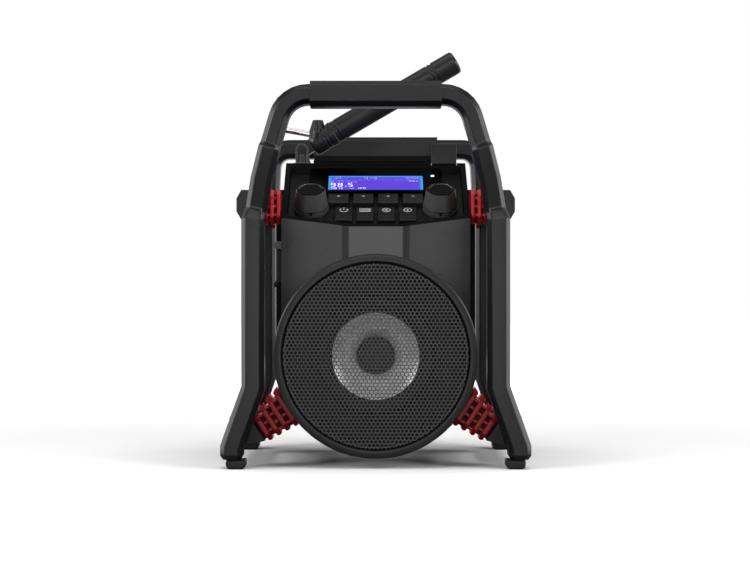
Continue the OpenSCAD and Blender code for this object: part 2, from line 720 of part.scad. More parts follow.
switch_h = 5;
module key_switches() {
    color("dimgray") on_panel() for (i = [1 : 4]) {
        box_at(soft_x(i), soft_row[0], [6, 6], board_top, board_top + switch_h);
        box_at(function_x(i), function_row[0], [6, 6], board_top, board_top + switch_h);
    }
}

encoder_h = 7;
module encoders() {
    color("silver") at_knobs(board_top) difference() {
        union() { translate([-6.5, -6.5, 0]) cube([13, 13, encoder_h]); cylinder(h = 12, d = shaft_d + 3); }
        translate([0, 0, 1]) cylinder(h = 12, d = shaft_d + 2 * fit);
    }
}

collar_h = 3.5;
module knob_collars() {
    color("dimgray") at_knobs(deck_top) difference() {
        cylinder(h = collar_h, d = knob_d);
        translate([0, 0, -e]) cylinder(h = collar_h + 1, d = knob_d - 10);
        translate([-1.2, -knob_d, 1]) cube([2.4, knob_d, collar_h]);
    }
}

knob_z = deck_top + collar_h + 1.1;       // underside of a knob
shaft_top = knob_z + knob_h - 4.4;
module shaft(side) {
    color("silver") on_panel() translate([side * knob_at[0], knob_at[1], board_top + 1.2])
        cylinder(h = shaft_top - board_top - 1.2, d = shaft_d);
}
module volume_shaft() { shaft(-1); }
module tuning_shaft() { shaft(1); }

knob_top_r = knob_d / 2 - 4.2;
module knob(side) {
    r = knob_d / 2;
    color(black) on_panel() translate([side * knob_at[0], knob_at[1], knob_z]) difference() {
        rotate_extrude($fn = 96) polygon([[0, 0], [r - 0.6, 0], [r, 0.6], [r, 2], [r - 1, knob_h - 3.4],
            [r - 1.7, knob_h - 1.7], [knob_top_r + 0.8, knob_h - 0.3], [knob_top_r, knob_h],
            [knob_top_r - 1.2, knob_h - 0.5], [0, knob_h - 0.5]]);
        for (k = [0 : 5]) rotate(k * 60 - 90) translate([r - 1.9, -r, 2.2]) rotate([0, -4.5, 0])
            cube([10, 2 * r, knob_h + 4]);
        translate([0, 0, -e]) cylinder(h = knob_h - 3, d = shaft_d + 2 * fit);
        translate([0, 0, -e]) difference() {
            cylinder(h = knob_h - 5, r = r - 4);
            cylinder(h = knob_h - 5, r = shaft_d / 2 + 2.6);
        }
    }
}
module volume_knob() { knob(-1); }
module tuning_knob() { knob(1); }

key_stem_z = board_top + switch_h + 1.6;  // underside of a key, clear of its switch at full travel
module key(x, y, size, top, front_drop) {
    color(black) on_panel() difference() {
        translate([x - size[0] / 2, 0, 0]) rotate([90, 0, 90]) linear_extrude(size[0]) polygon([
            [y - size[1] / 2, key_stem_z + 4], [y - 3, key_stem_z + 4], [y - 3, key_stem_z],
            [y + 3, key_stem_z], [y + 3, key_stem_z + 4], [y + size[1] / 2, key_stem_z + 4],
            [y + size[1] / 2, top - 0.6],
            [y + size[1] / 2 - 0.6, top], [y - size[1] / 2 + front_drop, top],
            [y - size[1] / 2 + front_drop * 0.4, top - front_drop * 0.25],
            [y - size[1] / 2, top - front_drop * 0.75]]);
        for (s = [-1, 1]) translate([x + s * size[0] / 2, y, key_stem_z + 1.9])
            cube([2 * (size[0] / 2 - 3), size[1] + 1, 4.2], center = true);
    }
}
module soft_key(i) { key(soft_x(i), soft_row[0], [soft_key_w, soft_row[2]], -1, 1.2); }
module function_key(i) { key(function_x(i), function_row[0], [function_key_w, function_row[2]], -0.6, 3.4); }
module soft_key_1() { soft_key(1); }
module soft_key_2() { soft_key(2); }
module soft_key_3() { soft_key(3); }
module soft_key_4() { soft_key(4); }
module function_key_1() { function_key(1); }
module function_key_2() { function_key(2); }
module function_key_3() { function_key(3); }
module function_key_4() { function_key(4); }

// ---- Antenna ----

pin_y = split_y - 16.5;                   // the antenna's plane
pin_h = 14.2;                             // the pin above the housing's top
tongue = 11;                              // thickness of the antenna's tongue
ear = 4;
ear_r = 6.2;
base_plate = 2.5;

module at_pin() { translate([pin_x, pin_y, top_z + pin_h]) children(); }

// Outline of an ear around the pin, with its foot running out to the right
module ear_outline(r) {
    translate([0, pin_h]) circle(r = r);
    polygon([[-r, pin_h], [-r, 0], [r + 2, 0], [r + 2, base_plate], [r, 7], [r, pin_h]]);
}

ear_rim = 2;                              // width of the raised rim around an ear
ear_sink = 1.3;                           // depth of the recess inside the rim
module antenna_bracket() {
    half = tongue / 2 + loose;
    color([0.42, 0.42, 0.44]) translate([pin_x, pin_y, top_z]) difference() {
        union() {
            translate([-ear_r - 2, -half - ear - 0.4, 0])
                cube([2 * ear_r + 4, 2 * (half + ear + 0.4), base_plate]);
            for (y = [-half - ear, half]) along_y(y, y + ear) ear_outline(ear_r);
        }
        translate([0, half + ear + 1, pin_h]) rotate([90, 0, 0])
            cylinder(h = 2 * (half + ear + 1), d = antenna_pin_d + 0.04);
        along_y(-half - ear - 1, -half - ear + ear_sink) difference() {
            union() {
                translate([0, pin_h]) circle(r = ear_r - ear_rim);
                translate([-ear_r + ear_rim, base_plate + 0.8]) square([2 * (ear_r - ear_rim), pin_h - 3.3]);
            }
            translate([-1.9, 0]) square([3.8, pin_h - 4.6]);
        }
    }
}

module antenna_pin() {
    half = tongue / 2 + loose + ear;
    color("silver") at_pin() rotate([90, 0, 0]) {
        translate([0, 0, -half]) cylinder(h = 2 * half - ear_sink + 0.1, d = antenna_pin_d);
        translate([0, 0, half - ear_sink + 0.1]) cylinder(h = 1.8, d = 5.8);
    }
}

// Frame of the antenna: X out along its length from the pin, at rest
module antenna_frame() { at_pin() rotate([0, -antenna_rest, 0]) children(); }
module lathe_x(profile) { rotate([0, 90, 0]) rotate_extrude($fn = 64) polygon(profile); }

sleeve_r = mast_d / 2 + 0.5;
sleeve = [10, 38];                        // where the base sleeve starts and ends
mast_r = mast_d / 2;
lock_off = [14.4, 10.8];                  // lock knob from the pin, across and up, to its seat
lock_r = 8.4;
stud_d = 5;

// A thin groove around the antenna at x, as points of its profile
function groove(r, x) = [[r, x - 0.9], [r - 0.7, x - 0.4], [r - 0.7, x + 0.4], [r, x + 0.9]];

module antenna_base() {
    color(black) difference() {
        antenna_frame() {
            rotate([90, 0, 0]) cylinder(h = tongue, r = ear_r - 0.2, center = true);
            translate([0, -tongue / 2, -ear_r + 0.2]) cube([sleeve[0] + 1, tongue, 2 * ear_r - 0.4]);
            lathe_x(concat([[0, sleeve[0]], [sleeve_r - 3, sleeve[0]], [sleeve_r - 0.8, sleeve[0] + 1.4],
                [sleeve_r, sleeve[0] + 4]], [for (x = [24.2, 27.6]) each groove(sleeve_r, x)],
                [[sleeve_r, 33.4], [sleeve_r - 0.9, 34.2], [sleeve_r - 0.9, sleeve[1]], [0, sleeve[1]]]));
        }
        at_pin() rotate([90, 0, 0]) cylinder(h = 40, d = antenna_pin_d + 2 * fit + 0.04, center = true);
        at_pin() translate([lock_off[0], 0, lock_off[1]]) {
            cylinder(h = 40, r = lock_r + 0.6);
            translate([-40, -20, 0]) cube([41.5, 40, 40]);
            translate([0, 0, -7]) cylinder(h = 8, d = stud_d + 2 * fit);
        }
    }
}

module antenna_mast() {
    tip = antenna_length;
    color(black) antenna_frame() lathe_x(concat([[0, sleeve[1]], [mast_r - 1.2, sleeve[1]],
        [mast_r - 0.2, sleeve[1] + 1]], [for (x = [27.4, 23.6]) each groove(mast_r - 0.2, tip - x)],
        [[mast_r, tip - 21.6], [mast_r, tip - 4]],
        [for (k = [1 : 4]) let (a = 90 * k / 4) [mast_r - 3 + 3 * cos(a), tip - 3 + 3 * sin(a)]], [[0, tip]]));
}

module lock_knob() {
    color(charcoal) at_pin() translate([lock_off[0], 0, lock_off[1] + loose]) {
        translate([0, 0, -6.6]) cylinder(h = 7, d = stud_d);
        difference() {
            union() {
                cylinder(h = 6.4, r = lock_r);
                translate([0, 0, 6.4]) cylinder(h = 11.4, r1 = lock_r, r2 = 4.8, $fn = 64);
            }
            for (k = [0 : 5]) rotate(k * 60 + 30) translate([lock_r + 1.6, 0, 6]) rotate([0, -16, 0])
                cylinder(h = 16, r = 2.6);
            bar_shape();
        }
    }
}

bar_d = 5.4;
bar_rise = 10;
// Bar pushed into the side of the lock knob
module bar_shape() {
    translate([0, 0, 3.2]) rotate([0, -90 + bar_rise, 0]) translate([0, 0, 5]) cylinder(h = 34, d = bar_d);
}
module lock_bar() {
    color("silver") at_pin() translate([lock_off[0], 0, lock_off[1] + loose]) bar_shape();
}

module antenna_clip() {
    r = mast_r + 0.6;
    half = r + 2.7;
    color([0.3, 0.3, 0.32]) translate([pin_x + clip_from_pin[0], pin_y, top_z]) rotate([90, 0, 90])
        linear_extrude(clip_from_pin[1] - clip_from_pin[0]) difference() {
            polygon([[1.5 - half, 0], [half - 1.5, 0], [half, 1.5], [half, pin_h + 5], [half - 1, pin_h + 6],
                [1 - half, pin_h + 6], [-half, pin_h + 5], [-half, 1.5]]);
            translate([0, pin_h]) circle(r = r);
            translate([-r, pin_h]) square([2 * r, 20]);
        }
}

// ---- Port cover and battery ----

module port_cover() {
    x = -low_r - cover_pin[0];
    color(black) difference() {
        union() {
            translate([x, cover_y + cover[0] / 2, cover_pin[1]]) rotate([90, 0, 0])
                cylinder(h = cover[0], r = 3.2);
            along_y(cover_y - cover[0] / 2, cover_y + cover[0] / 2) polygon([
                [x - 3, cover_pin[1] - 0.5], [x + 3, cover_pin[1] - 0.5], [-low_r - 0.4, cover_pin[1] - 5],
                [-low_r - 0.4, cover_pin[1] - cover[1] - 2], [x + 1, cover_pin[1] - cover[1] - 4],
                [x - 3.2, cover_pin[1] - cover[1] - 8], [x - 3.8, cover_pin[1] - cover[1] - 5],
                [x - 0.4, cover_pin[1] - cover[1]], [x - 0.4, cover_pin[1] - 6]]);
        }
        translate([x, cover_y + cover[0], cover_pin[1]]) rotate([90, 0, 0])
            cylinder(h = 2 * cover[0], d = 3 + 2 * fit);
    }
}

jack_r = 1.85;                            // for a 3.5 mm plug
jack_depth = 14;
module port_block() {
    x0 = -low_r + 1.6;
    color([0.2, 0.2, 0.22]) difference() {
        translate([x0, cover_y - port_size[0] / 2 + 0.1, port_mid_z - port_size[1] / 2 + 0.1])
            cube([16, port_size[0] - 0.2, port_size[1] - 0.2]);
        translate([x0 - e, cover_y + 8, port_mid_z]) rotate([0, 90, 0])
            cylinder(h = jack_depth + e, r = jack_r);
        translate([x0 - e, cover_y - 9, port_mid_z - 3]) cube([11, 12, 6]);
    }
}

module battery_door() {
    color(charcoal) difference() {
        union() {
            translate([0, 0, 0]) rotate([90, 0, 90]) linear_extrude(2 * hinge_half, center = true) {
                translate([hinge_y, door_z]) circle(r = 3.3);
                polygon([[hinge_y - 3.2, door_z + 0.8], [hinge_y + 3.3, door_z], [hinge_y + 0.2, door_z + 6],
                    [back_y + loose, door_z + 6]]);
            }
            translate([-door_w / 2, back_y + loose, door_z + 4]) cube([door_w, 3.5, door_h - 4]);
            for (x = [-30, -15, 0, 15, 30]) translate([x - 2, back_y + loose + 3.4, door_z + 14])
                cube([4, 1.4, door_h - 40]);
        }
        translate([-hinge_half - 1, hinge_y, door_z]) rotate([0, 90, 0])
            cylinder(h = 2 * hinge_half + 2, d = 3 + 2 * fit);
        latch_slot();
    }
}
latch = [26, 12];
latch_z = door_z + door_h - 12;
latch_travel = 3;
module latch_slot() {
    translate([-latch[0] / 2 - 0.3, back_y + loose + 1.6, latch_z - latch_travel - 0.3])
        cube([latch[0] + 0.6, 4, latch[1] + 0.6 + latch_travel]);
}
module battery_latch() {
    color([0.3, 0.3, 0.32]) translate([-latch[0] / 2, back_y + loose + 1.9, latch_z]) difference() {
        cube([latch[0], 3, latch[1]]);
        for (z = [2.5, 5.5, 8.5]) translate([4, 2.2, z]) cube([latch[0] - 8, 1, 1.2]);
    }
}

module battery_pack() {
    w = bay_in[0] - 12;
    color([0.16, 0.16, 0.17]) translate([-w / 2, bay_y - bay_in[1] + 2, door_z + 4])
        rotate([90, 0, 90]) linear_extrude(w) polygon([[0, 0], [40, 0], [42, 2], [42, 30], [40, 32],
            [30, 32], [30, bay_in[2] - 12], [28, bay_in[2] - 10], [6, bay_in[2] - 10], [4, bay_in[2] - 12],
            [4, 32], [0, 30]]);
}

front_frame();
rear_frame();
front_grip();
rear_grip();
side_rail_left();
side_rail_right();
lower_beam_left();
lower_beam_right();
rubber_feet();
upper_dampers_left();
upper_dampers_right();
lower_dampers_left();
lower_dampers_right();
damper_plugs();
front_housing();
rear_housing();
housing_seal();
housing_screws();
speaker_ring();
speaker_grille();
speaker_basket();
speaker_surround();
speaker_cone();
dust_cap();
voice_coil();
speaker_spider();
speaker_magnet();
speaker_screws();
panel_deck();
display_bezel();
display_screen();
status_led();
main_board();
key_switches();
encoders();
knob_collars();
volume_shaft();
tuning_shaft();
volume_knob();
tuning_knob();
soft_key_1();
soft_key_2();
soft_key_3();
soft_key_4();
function_key_1();
function_key_2();
function_key_3();
function_key_4();
antenna_bracket();
antenna_pin();
antenna_base();
antenna_mast();
antenna_clip();
lock_knob();
lock_bar();
port_cover();
port_block();
battery_door();
battery_latch();
battery_pack();
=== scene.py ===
"""Jobsite radio: finishes and fine pieces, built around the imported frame."""

import logging
import math
from dataclasses import dataclass, field
from enum import Enum
from typing import Callable, ClassVar, Iterable, Optional, Sequence

import bmesh
import bpy
from mathutils import Matrix, Vector


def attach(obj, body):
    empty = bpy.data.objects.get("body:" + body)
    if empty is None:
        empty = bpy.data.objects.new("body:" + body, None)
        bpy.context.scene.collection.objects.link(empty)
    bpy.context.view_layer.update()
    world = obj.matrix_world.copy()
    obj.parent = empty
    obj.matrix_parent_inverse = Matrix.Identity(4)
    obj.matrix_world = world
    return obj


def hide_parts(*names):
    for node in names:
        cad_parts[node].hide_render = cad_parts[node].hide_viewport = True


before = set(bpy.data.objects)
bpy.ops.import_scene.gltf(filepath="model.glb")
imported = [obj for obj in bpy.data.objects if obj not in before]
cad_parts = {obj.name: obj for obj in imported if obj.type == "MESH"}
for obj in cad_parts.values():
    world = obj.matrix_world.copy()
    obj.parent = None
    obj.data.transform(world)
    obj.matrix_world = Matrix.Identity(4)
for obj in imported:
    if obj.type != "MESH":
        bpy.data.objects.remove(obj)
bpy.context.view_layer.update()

LOG = logging.getLogger("radio")

BMesh = bmesh.types.BMesh
Face = bmesh.types.BMFace
Edge = bmesh.types.BMEdge
Vert = bmesh.types.BMVert
Node = bpy.types.Node
Socket = bpy.types.NodeSocket
Colour = tuple[float, float, float]
Spot = tuple[float, float]

MM = 0.001
RADIO = "radio"

# Places that the frame was drawn with, in millimetres and radians
SPEAKER_Z = 98.6
PANEL_TILT = math.radians(29.0)
PANEL_FOOT = Vector((0.0, -91.0, 220.2))
PANEL_UP = Vector((0.0, math.cos(PANEL_TILT), math.sin(PANEL_TILT)))
PANEL_OUT = Vector((0.0, -math.sin(PANEL_TILT), math.cos(PANEL_TILT)))
PANEL = Matrix.Translation(PANEL_FOOT) @ Matrix.Rotation(PANEL_TILT, 4, "X")
SPEAKER = Matrix.Translation((0, 0, SPEAKER_Z)) @ Matrix.Rotation(math.pi / 2, 4, "X")

# Faces that meet at a smaller angle shade as one, in degrees
SHADING_ANGLE = 32.0
# Vertices of a drawn mesh that lie nearer become one, in millimetres
WELD = 1e-4


# ---- Shader wiring ----

class Wiring:
    """Adds and links the nodes of one tree."""

    def __init__(self, tree: bpy.types.NodeTree) -> None:
        """Keeps the tree that the nodes go to."""
        self.tree = tree

    def feed(self, node: Node, inputs: dict) -> None:
        """Gives a node its inputs.

        Args:
            node: a node of the tree.
            inputs: values, or sockets to link from, by input name or number.
        """
        for key, value in inputs.items():
            if isinstance(value, Socket):
                self.tree.links.new(value, node.inputs[key])
            else:
                node.inputs[key].default_value = value

    def add(self, kind: str, inputs: Optional[dict] = None, **settings) -> Node:
        """Adds one node.

        Args:
            kind: the node's class, without its ShaderNode prefix.
            inputs: values, or sockets to link from, by input name or number.
            settings: the node's own properties.

        Returns:
            The new node.
        """
        node = self.tree.nodes.new("ShaderNode" + kind)
        for key, value in settings.items():
            setattr(node, key, value)
        self.feed(node, inputs or {})
        return node

    def maths(self, operation: str, a: object, b: object = 0.0) -> Socket:
        """Returns the output of a Math node on a and b."""
        return self.add("Math", {0: a, 1: b}, operation=operation).outputs[0]

    def mix(self, share: object, a: object, b: object) -> Socket:
        """Returns colour a mixed with colour b by share."""
        return self.add("Mix", {0: share, 6: a, 7: b}, data_type="RGBA").outputs[2]

    def ramp(self, value: object, low: float, high: float, to_low: float = 0.0,
             to_high: float = 1.0) -> Socket:
        """Returns value mapped smoothly from low..high to to_low..to_high."""
        return self.add("MapRange", {0: value, 1: low, 2: high, 3: to_low, 4: to_high},
                        interpolation_type="SMOOTHSTEP").outputs[0]

    def place(self) -> Socket:
        """Returns the shaded point in the object's own axes."""
        return self.add("TexCoord").outputs["Object"]


def rgba(colour: Colour) -> tuple[float, float, float, float]:
    """Returns the colour with full alpha."""
    return (*colour, 1.0)


class Effect(Enum):
    """Shader groups that several finishes share."""

    GRAIN = "moulded_grain"
    EDGES = "edge_rounding_and_highlight"
    DUST = "settled_dust"


class EffectShelf:
    """Builds each shared shader group once."""

    def __init__(self) -> None:
        """Starts with no group built."""
        self.built: dict[Effect, bpy.types.NodeTree] = {}
        self.makers = {Effect.GRAIN: self.grain, Effect.EDGES: self.edges, Effect.DUST: self.dust}

    def group(self, effect: Effect) -> bpy.types.NodeTree:
        """Finds the group of an effect, and builds it at its first use.

        Args:
            effect: the effect.

        Returns:
            Its group.
        """
        if effect not in self.built:
            self.built[effect] = self.makers[effect](effect.value)
        return self.built[effect]

    @staticmethod
    def blank(name: str, inputs: dict[str, float], outputs: dict[str, str]) -> tuple[Wiring, Node, Node]:
        """Makes an empty group.

        Args:
            name: the group's name.
            inputs: number inputs and their usual values.
            outputs: output names and their socket types.

        Returns:
            The group's wiring, its input node and its output node.
        """
        tree = bpy.data.node_groups.new(name, "ShaderNodeTree")
        for key, value in inputs.items():
            socket = tree.interface.new_socket(key, in_out="INPUT", socket_type="NodeSocketFloat")
            socket.default_value = value
        for key, kind in outputs.items():
            tree.interface.new_socket(key, in_out="OUTPUT", socket_type=kind)
        return Wiring(tree), tree.nodes.new("NodeGroupInput"), tree.nodes.new("NodeGroupOutput")

    def grain(self, name: str) -> bpy.types.NodeTree:
        """Draws the fine sprayed texture of a moulding, and its slow change of tone.

        Args:
            name: the group's name.

        Returns:
            The group, which gives a height and a tone.
        """
        w, given, made = self.blank(name, {"Per metre": 1500.0, "Sharpness": 0.5},
                                    {"Height": "NodeSocketFloat", "Tone": "NodeSocketFloat"})
        place, scale = w.place(), given.outputs["Per metre"]
        pits = w.add("TexVoronoi", {"Vector": place, "Scale": scale, "Randomness": 1.0}, feature="SMOOTH_F1")
        fine = w.add("TexNoise", {"Vector": place, "Scale": scale, "Detail": 3.0})
        slow = w.add("TexNoise", {"Vector": place, "Scale": 22.0, "Detail": 2.0, "Roughness": 0.5})
        sharp_part = w.maths("MULTIPLY", pits.outputs["Distance"], given.outputs["Sharpness"])
        soft_part = w.maths("MULTIPLY", fine.outputs["Fac"], 0.5)
        w.feed(made, {"Height": w.maths("ADD", sharp_part, soft_part),
                      "Tone": w.ramp(slow.outputs["Fac"], low=0.3, high=0.7)})
        return w.tree

    def edges(self, name: str) -> bpy.types.NodeTree:
        """Draws a rounded normal, and a broken mask of the edges that hands rub, which are lightened both by
        rubbing and as a painted edge highlight.

        Args:
            name: the group's name.

        Returns:
            The group, which gives a mask and a normal.
        """
        w, given, made = self.blank(name, {"Radius": 0.0006},
                                    {"Mask": "NodeSocketFloat", "Normal": "NodeSocketVector"})
        soft = w.add("Bevel", {"Radius": given.outputs["Radius"]}, samples=4).outputs[0]
        flat = w.add("NewGeometry").outputs["Normal"]
        same = w.add("VectorMath", {0: soft, 1: flat}, operation="DOT_PRODUCT").outputs["Value"]
        patches = w.add("TexNoise", {"Vector": w.place(), "Scale": 130.0, "Detail": 5.0}).outputs["Fac"]
        edge = w.ramp(same, low=0.995, high=0.9)
        rubbed_and_highlit = w.ramp(patches, low=0.3, high=0.75, to_low=0.6)
        w.feed(made, {"Mask": w.maths("MULTIPLY", edge, rubbed_and_highlit), "Normal": soft})
        return w.tree

    def dust(self, name: str) -> bpy.types.NodeTree:
        """Draws thin dust on what faces up.

        Args:
            name: the group's name.

        Returns:
            The group, which gives a mask.
        """
        w, given, made = self.blank(name, {"Per metre": 60.0}, {"Mask": "NodeSocketFloat"})
        up = w.add("SeparateXYZ", {0: w.add("NewGeometry").outputs["Normal"]}).outputs["Z"]
        cloud = w.add("TexNoise", {"Vector": w.place(), "Scale": given.outputs["Per metre"],
                                   "Detail": 6.0, "Roughness": 0.7}).outputs["Fac"]
        lying = w.ramp(up, low=0.2, high=1.0)
        w.feed(made, {"Mask": w.maths("MULTIPLY", lying, w.ramp(cloud, low=0.35, high=0.75))})
        return w.tree


EFFECTS = EffectShelf()


# ---- Finishes ----

@dataclass(frozen=True)
class Look:
    """A surface, whose material is built at its first use.

    Colours are linear, and sizes in a look are in metres. The slot names the record's one that the look
    stands for, where it isn't of the same name.
    """

    suffix: ClassVar[str] = "_finish"

    name: str
    slot: str = field(default="", kw_only=True)

    def material(self) -> bpy.types.Material:
        """Finds the look's material, and builds it at its first use.

        Returns:
            The material, which the look's pieces share.
        """
        title = self.name + self.suffix
        made = bpy.data.materials.get(title)
        if made is None:
            made = bpy.data.materials.new(title)
            made.use_nodes = True
            self.wire(Wiring(made.node_tree), made.node_tree.nodes["Principled BSDF"])
        return made

    def wire(self, w: Wiring, shader: Node) -> None:
        """Feeds the shader; each kind of look does it in its own way.

        Args:
            w: the material's wiring.
            shader: its Principled shader.
        """
        raise NotImplementedError


@dataclass(frozen=True)
class Finish(Look):
    """A moulded, cast, sprayed or polished surface."""

    dust_colour: ClassVar[Colour] = (0.32, 0.3, 0.28)
    roughness_swing: ClassVar[float] = 0.01

    colour: Colour
    roughness: float = 0.5
    shine: float = 0.5
    metallic: float = 0.0
    grain: float = 0.0007
    relief: float = 0.12
    mottle: float = 0.06
    rounding: float = 0.0006
    wear_and_highlight: float = 0.15
    worn_and_highlight: Colour = (0.09, 0.09, 0.092)
    dust: float = 0.01

    def wire(self, w: Wiring, shader: Node) -> None:
        """Feeds the shader with grain, edges that are rounded and lightened by rubbing and as a painted
        highlight, and dust.

        Args:
            w: the material's wiring.
            shader: its Principled shader.
        """
        grain = w.add("Group", {}, node_tree=EFFECTS.group(Effect.GRAIN))
        edges = w.add("Group", {}, node_tree=EFFECTS.group(Effect.EDGES))
        dust = w.add("Group", {}, node_tree=EFFECTS.group(Effect.DUST))
        w.feed(grain, {"Per metre": 1.0 / self.grain})
        w.feed(edges, {"Radius": self.rounding})
        darker = tuple(c * (1 - self.mottle) for c in self.colour)
        lighter = tuple(min(1.0, c * (1 + self.mottle)) for c in self.colour)
        tone = w.mix(grain.outputs["Tone"], rgba(darker), rgba(lighter))
        # Edges lightened by rubbing, and as a painted edge highlight
        rubbed_and_highlit = w.mix(w.maths("MULTIPLY", edges.outputs["Mask"], self.wear_and_highlight), tone, rgba(self.worn_and_highlight))
        dusty = w.mix(w.maths("MULTIPLY", dust.outputs["Mask"], self.dust), rubbed_and_highlit, rgba(self.dust_colour))
        dull = w.ramp(grain.outputs["Tone"], 0.0, 1.0, to_low=self.roughness - self.roughness_swing,
                      to_high=self.roughness + self.roughness_swing)
        bump = w.add("Bump", {"Height": grain.outputs["Height"], "Normal": edges.outputs["Normal"],
                              "Strength": self.relief, "Distance": self.grain})
        w.feed(shader, {"Base Color": dusty, "Roughness": dull, "Normal": bump.outputs[0],
                        "Metallic": self.metallic, "Specular IOR Level": self.shine})


@dataclass(frozen=True)
class Glow(Look):
    """A glowing surface with a fine speckle. The lamp lens and the display marks are lit; on the white key
    print the glow is painted light.
    """

    colour: Colour
    strength: float = 1.0
    dimmest: float = 0.85

    def wire(self, w: Wiring, shader: Node) -> None:
        """Feeds the shader with the speckled light.

        Args:
            w: the material's wiring.
            shader: its Principled shader.
        """
        speck = w.add("TexNoise", {"Vector": w.place(), "Scale": 900.0, "Detail": 2.0}).outputs["Fac"]
        dim = tuple(self.dimmest * c for c in self.colour)
        tint = w.mix(w.ramp(speck, low=0.2, high=0.8), rgba(dim), rgba(self.colour))
        w.feed(shader, {"Base Color": tint, "Emission Color": tint, "Emission Strength": self.strength,
                        "Roughness": 0.4})


@dataclass(frozen=True)
class ScreenGlow(Look):
    """The lit display: violet in the middle, blue towards its edges, cyan at its top and sides."""

    suffix: ClassVar[str] = ""
    violet: ClassVar[Colour] = (0.11, 0.045, 0.68)
    blue: ClassVar[Colour] = (0.03, 0.11, 0.72)
    cyan: ClassVar[Colour] = (0.05, 0.4, 0.85)
    shade: ClassVar[Colour] = (0.03, 0.02, 0.3)
    cell: ClassVar[Colour] = (0.02, 0.02, 0.1)
    gap: ClassVar[Colour] = (0.01, 0.01, 0.05)

    name: str = "display_glow"
    middle_up: float = 72.8 * MM
    half_wide: float = 43.1 * MM
    half_high: float = 14.8 * MM
    blue_reach: float = 7.0 * MM
    cyan_reach: float = 3.5 * MM
    shade_reach: float = 3.0 * MM
    strength: float = 1.0

    def wire(self, w: Wiring, shader: Node) -> None:
        """Feeds the shader with colours that follow the distance from the display's sides.

        Args:
            w: the material's wiring.
            shader: its Principled shader.
        """
        place = w.place()
        across = w.add("SeparateXYZ", {0: place}).outputs["X"]
        from_foot = w.add("VectorMath", {0: place, 1: PANEL_FOOT * -MM}).outputs[0]
        up = w.add("VectorMath", {0: from_foot, 1: PANEL_UP}, operation="DOT_PRODUCT").outputs["Value"]
        height = w.maths("SUBTRACT", up, self.middle_up)
        side_gap = w.maths("SUBTRACT", self.half_wide, w.maths("ABSOLUTE", across))
        top_gap = w.maths("SUBTRACT", self.half_high, height)
        low_gap = w.maths("ADD", self.half_high, height)
        outer = w.maths("MINIMUM", side_gap, top_gap)
        nearest = w.maths("MINIMUM", outer, w.maths("MULTIPLY", low_gap, 1.5))
        inner = w.mix(w.ramp(nearest, 0.0, self.blue_reach), rgba(self.blue), rgba(self.violet))
        lit = w.mix(w.ramp(outer, self.cyan_reach, 0.0), inner, rgba(self.cyan))
        shaded = w.mix(w.ramp(low_gap, self.shade_reach, 0.0), lit, rgba(self.shade))
        dots = w.add("TexVoronoi", {"Vector": place, "Scale": 1600.0, "Randomness": 0.0},
                     distance="CHEBYCHEV").outputs["Distance"]
        base = w.mix(w.ramp(dots, low=0.2, high=0.5), rgba(self.cell), rgba(self.gap))
        w.feed(shader, {"Base Color": base, "Emission Color": shaded, "Emission Strength": self.strength,
                        "Roughness": 0.25})


# Roll cage
CAGE = Finish("cage_plastic", (0.0065, 0.0065, 0.0067), roughness=0.3)
GRIP = Finish("grip_rubber", (0.008, 0.008, 0.0083), roughness=0.34, shine=0.45, grain=0.0009,
              relief=0.2, wear_and_highlight=0.1)
BEAM = Finish("beam_plastic", (0.006, 0.006, 0.0062), roughness=0.36, shine=0.4)
FOOT = Finish("foot_rubber", (0.01, 0.01, 0.0103), roughness=0.45, shine=0.4, relief=0.2, wear_and_highlight=0.1)
RED = Finish("damper_red", (0.64, 0.006, 0.016), roughness=0.3, shine=0.4, mottle=0.08,
             wear_and_highlight=0.25, worn_and_highlight=(0.5, 0.03, 0.04))
# Painted shade: a darker red for the recessed core between the bellows' lips
RED_PAINTED_SHADE = Finish("damper_core", (0.11, 0.004, 0.007), shine=0.2, wear_and_highlight=0.0)

# Housing
SHELL = Finish("shell_plastic", (0.064, 0.064, 0.0645), roughness=0.28, shine=0.38, mottle=0.03, wear_and_highlight=0.12)
# Near-black for the panel rim, and painted shade on the recess walls and the seam flanges
RIM_AND_SHADE = Finish("rim_plastic", (0.0035, 0.0035, 0.0037), roughness=0.38, shine=0.06,
             wear_and_highlight=0.3, worn_and_highlight=(0.05, 0.05, 0.05), dust=0.0)
# Painted shade: a darker grey for the sloping step beside the shell's middle plate
BAND_SHADE = Finish("band_plastic", (0.022, 0.022, 0.0223), roughness=0.32, shine=0.4, wear_and_highlight=0.0)
SEAL = Finish("seal_rubber", (0.002, 0.002, 0.002), roughness=0.7, shine=0.1, wear_and_highlight=0.0, dust=0.0)
SCREW = Finish("steel_screw", (0.42, 0.42, 0.43), roughness=0.35, metallic=1.0, grain=0.0003,
               relief=0.05, worn_and_highlight=(0.7, 0.7, 0.7))
PORT = Finish("port_plastic", (0.01, 0.01, 0.0105), roughness=0.45)
COVER = Finish("cover_rubber", (0.006, 0.006, 0.0062), shine=0.3)
DOOR = Finish("door_plastic", (0.03, 0.03, 0.0305), roughness=0.42, shine=0.35)
LATCH = Finish("latch_plastic", (0.06, 0.06, 0.062), roughness=0.42)
PACK = Finish("pack_plastic", (0.02, 0.02, 0.0205))

# Speaker
RING = Finish("ring_plastic", (0.015, 0.015, 0.0153), roughness=0.32, shine=0.4)
MESH = Finish("grille_steel", (0.06, 0.06, 0.0605), roughness=0.36, shine=0.4, grain=0.0004,
              relief=0.06, rounding=0.0002, wear_and_highlight=0.0)
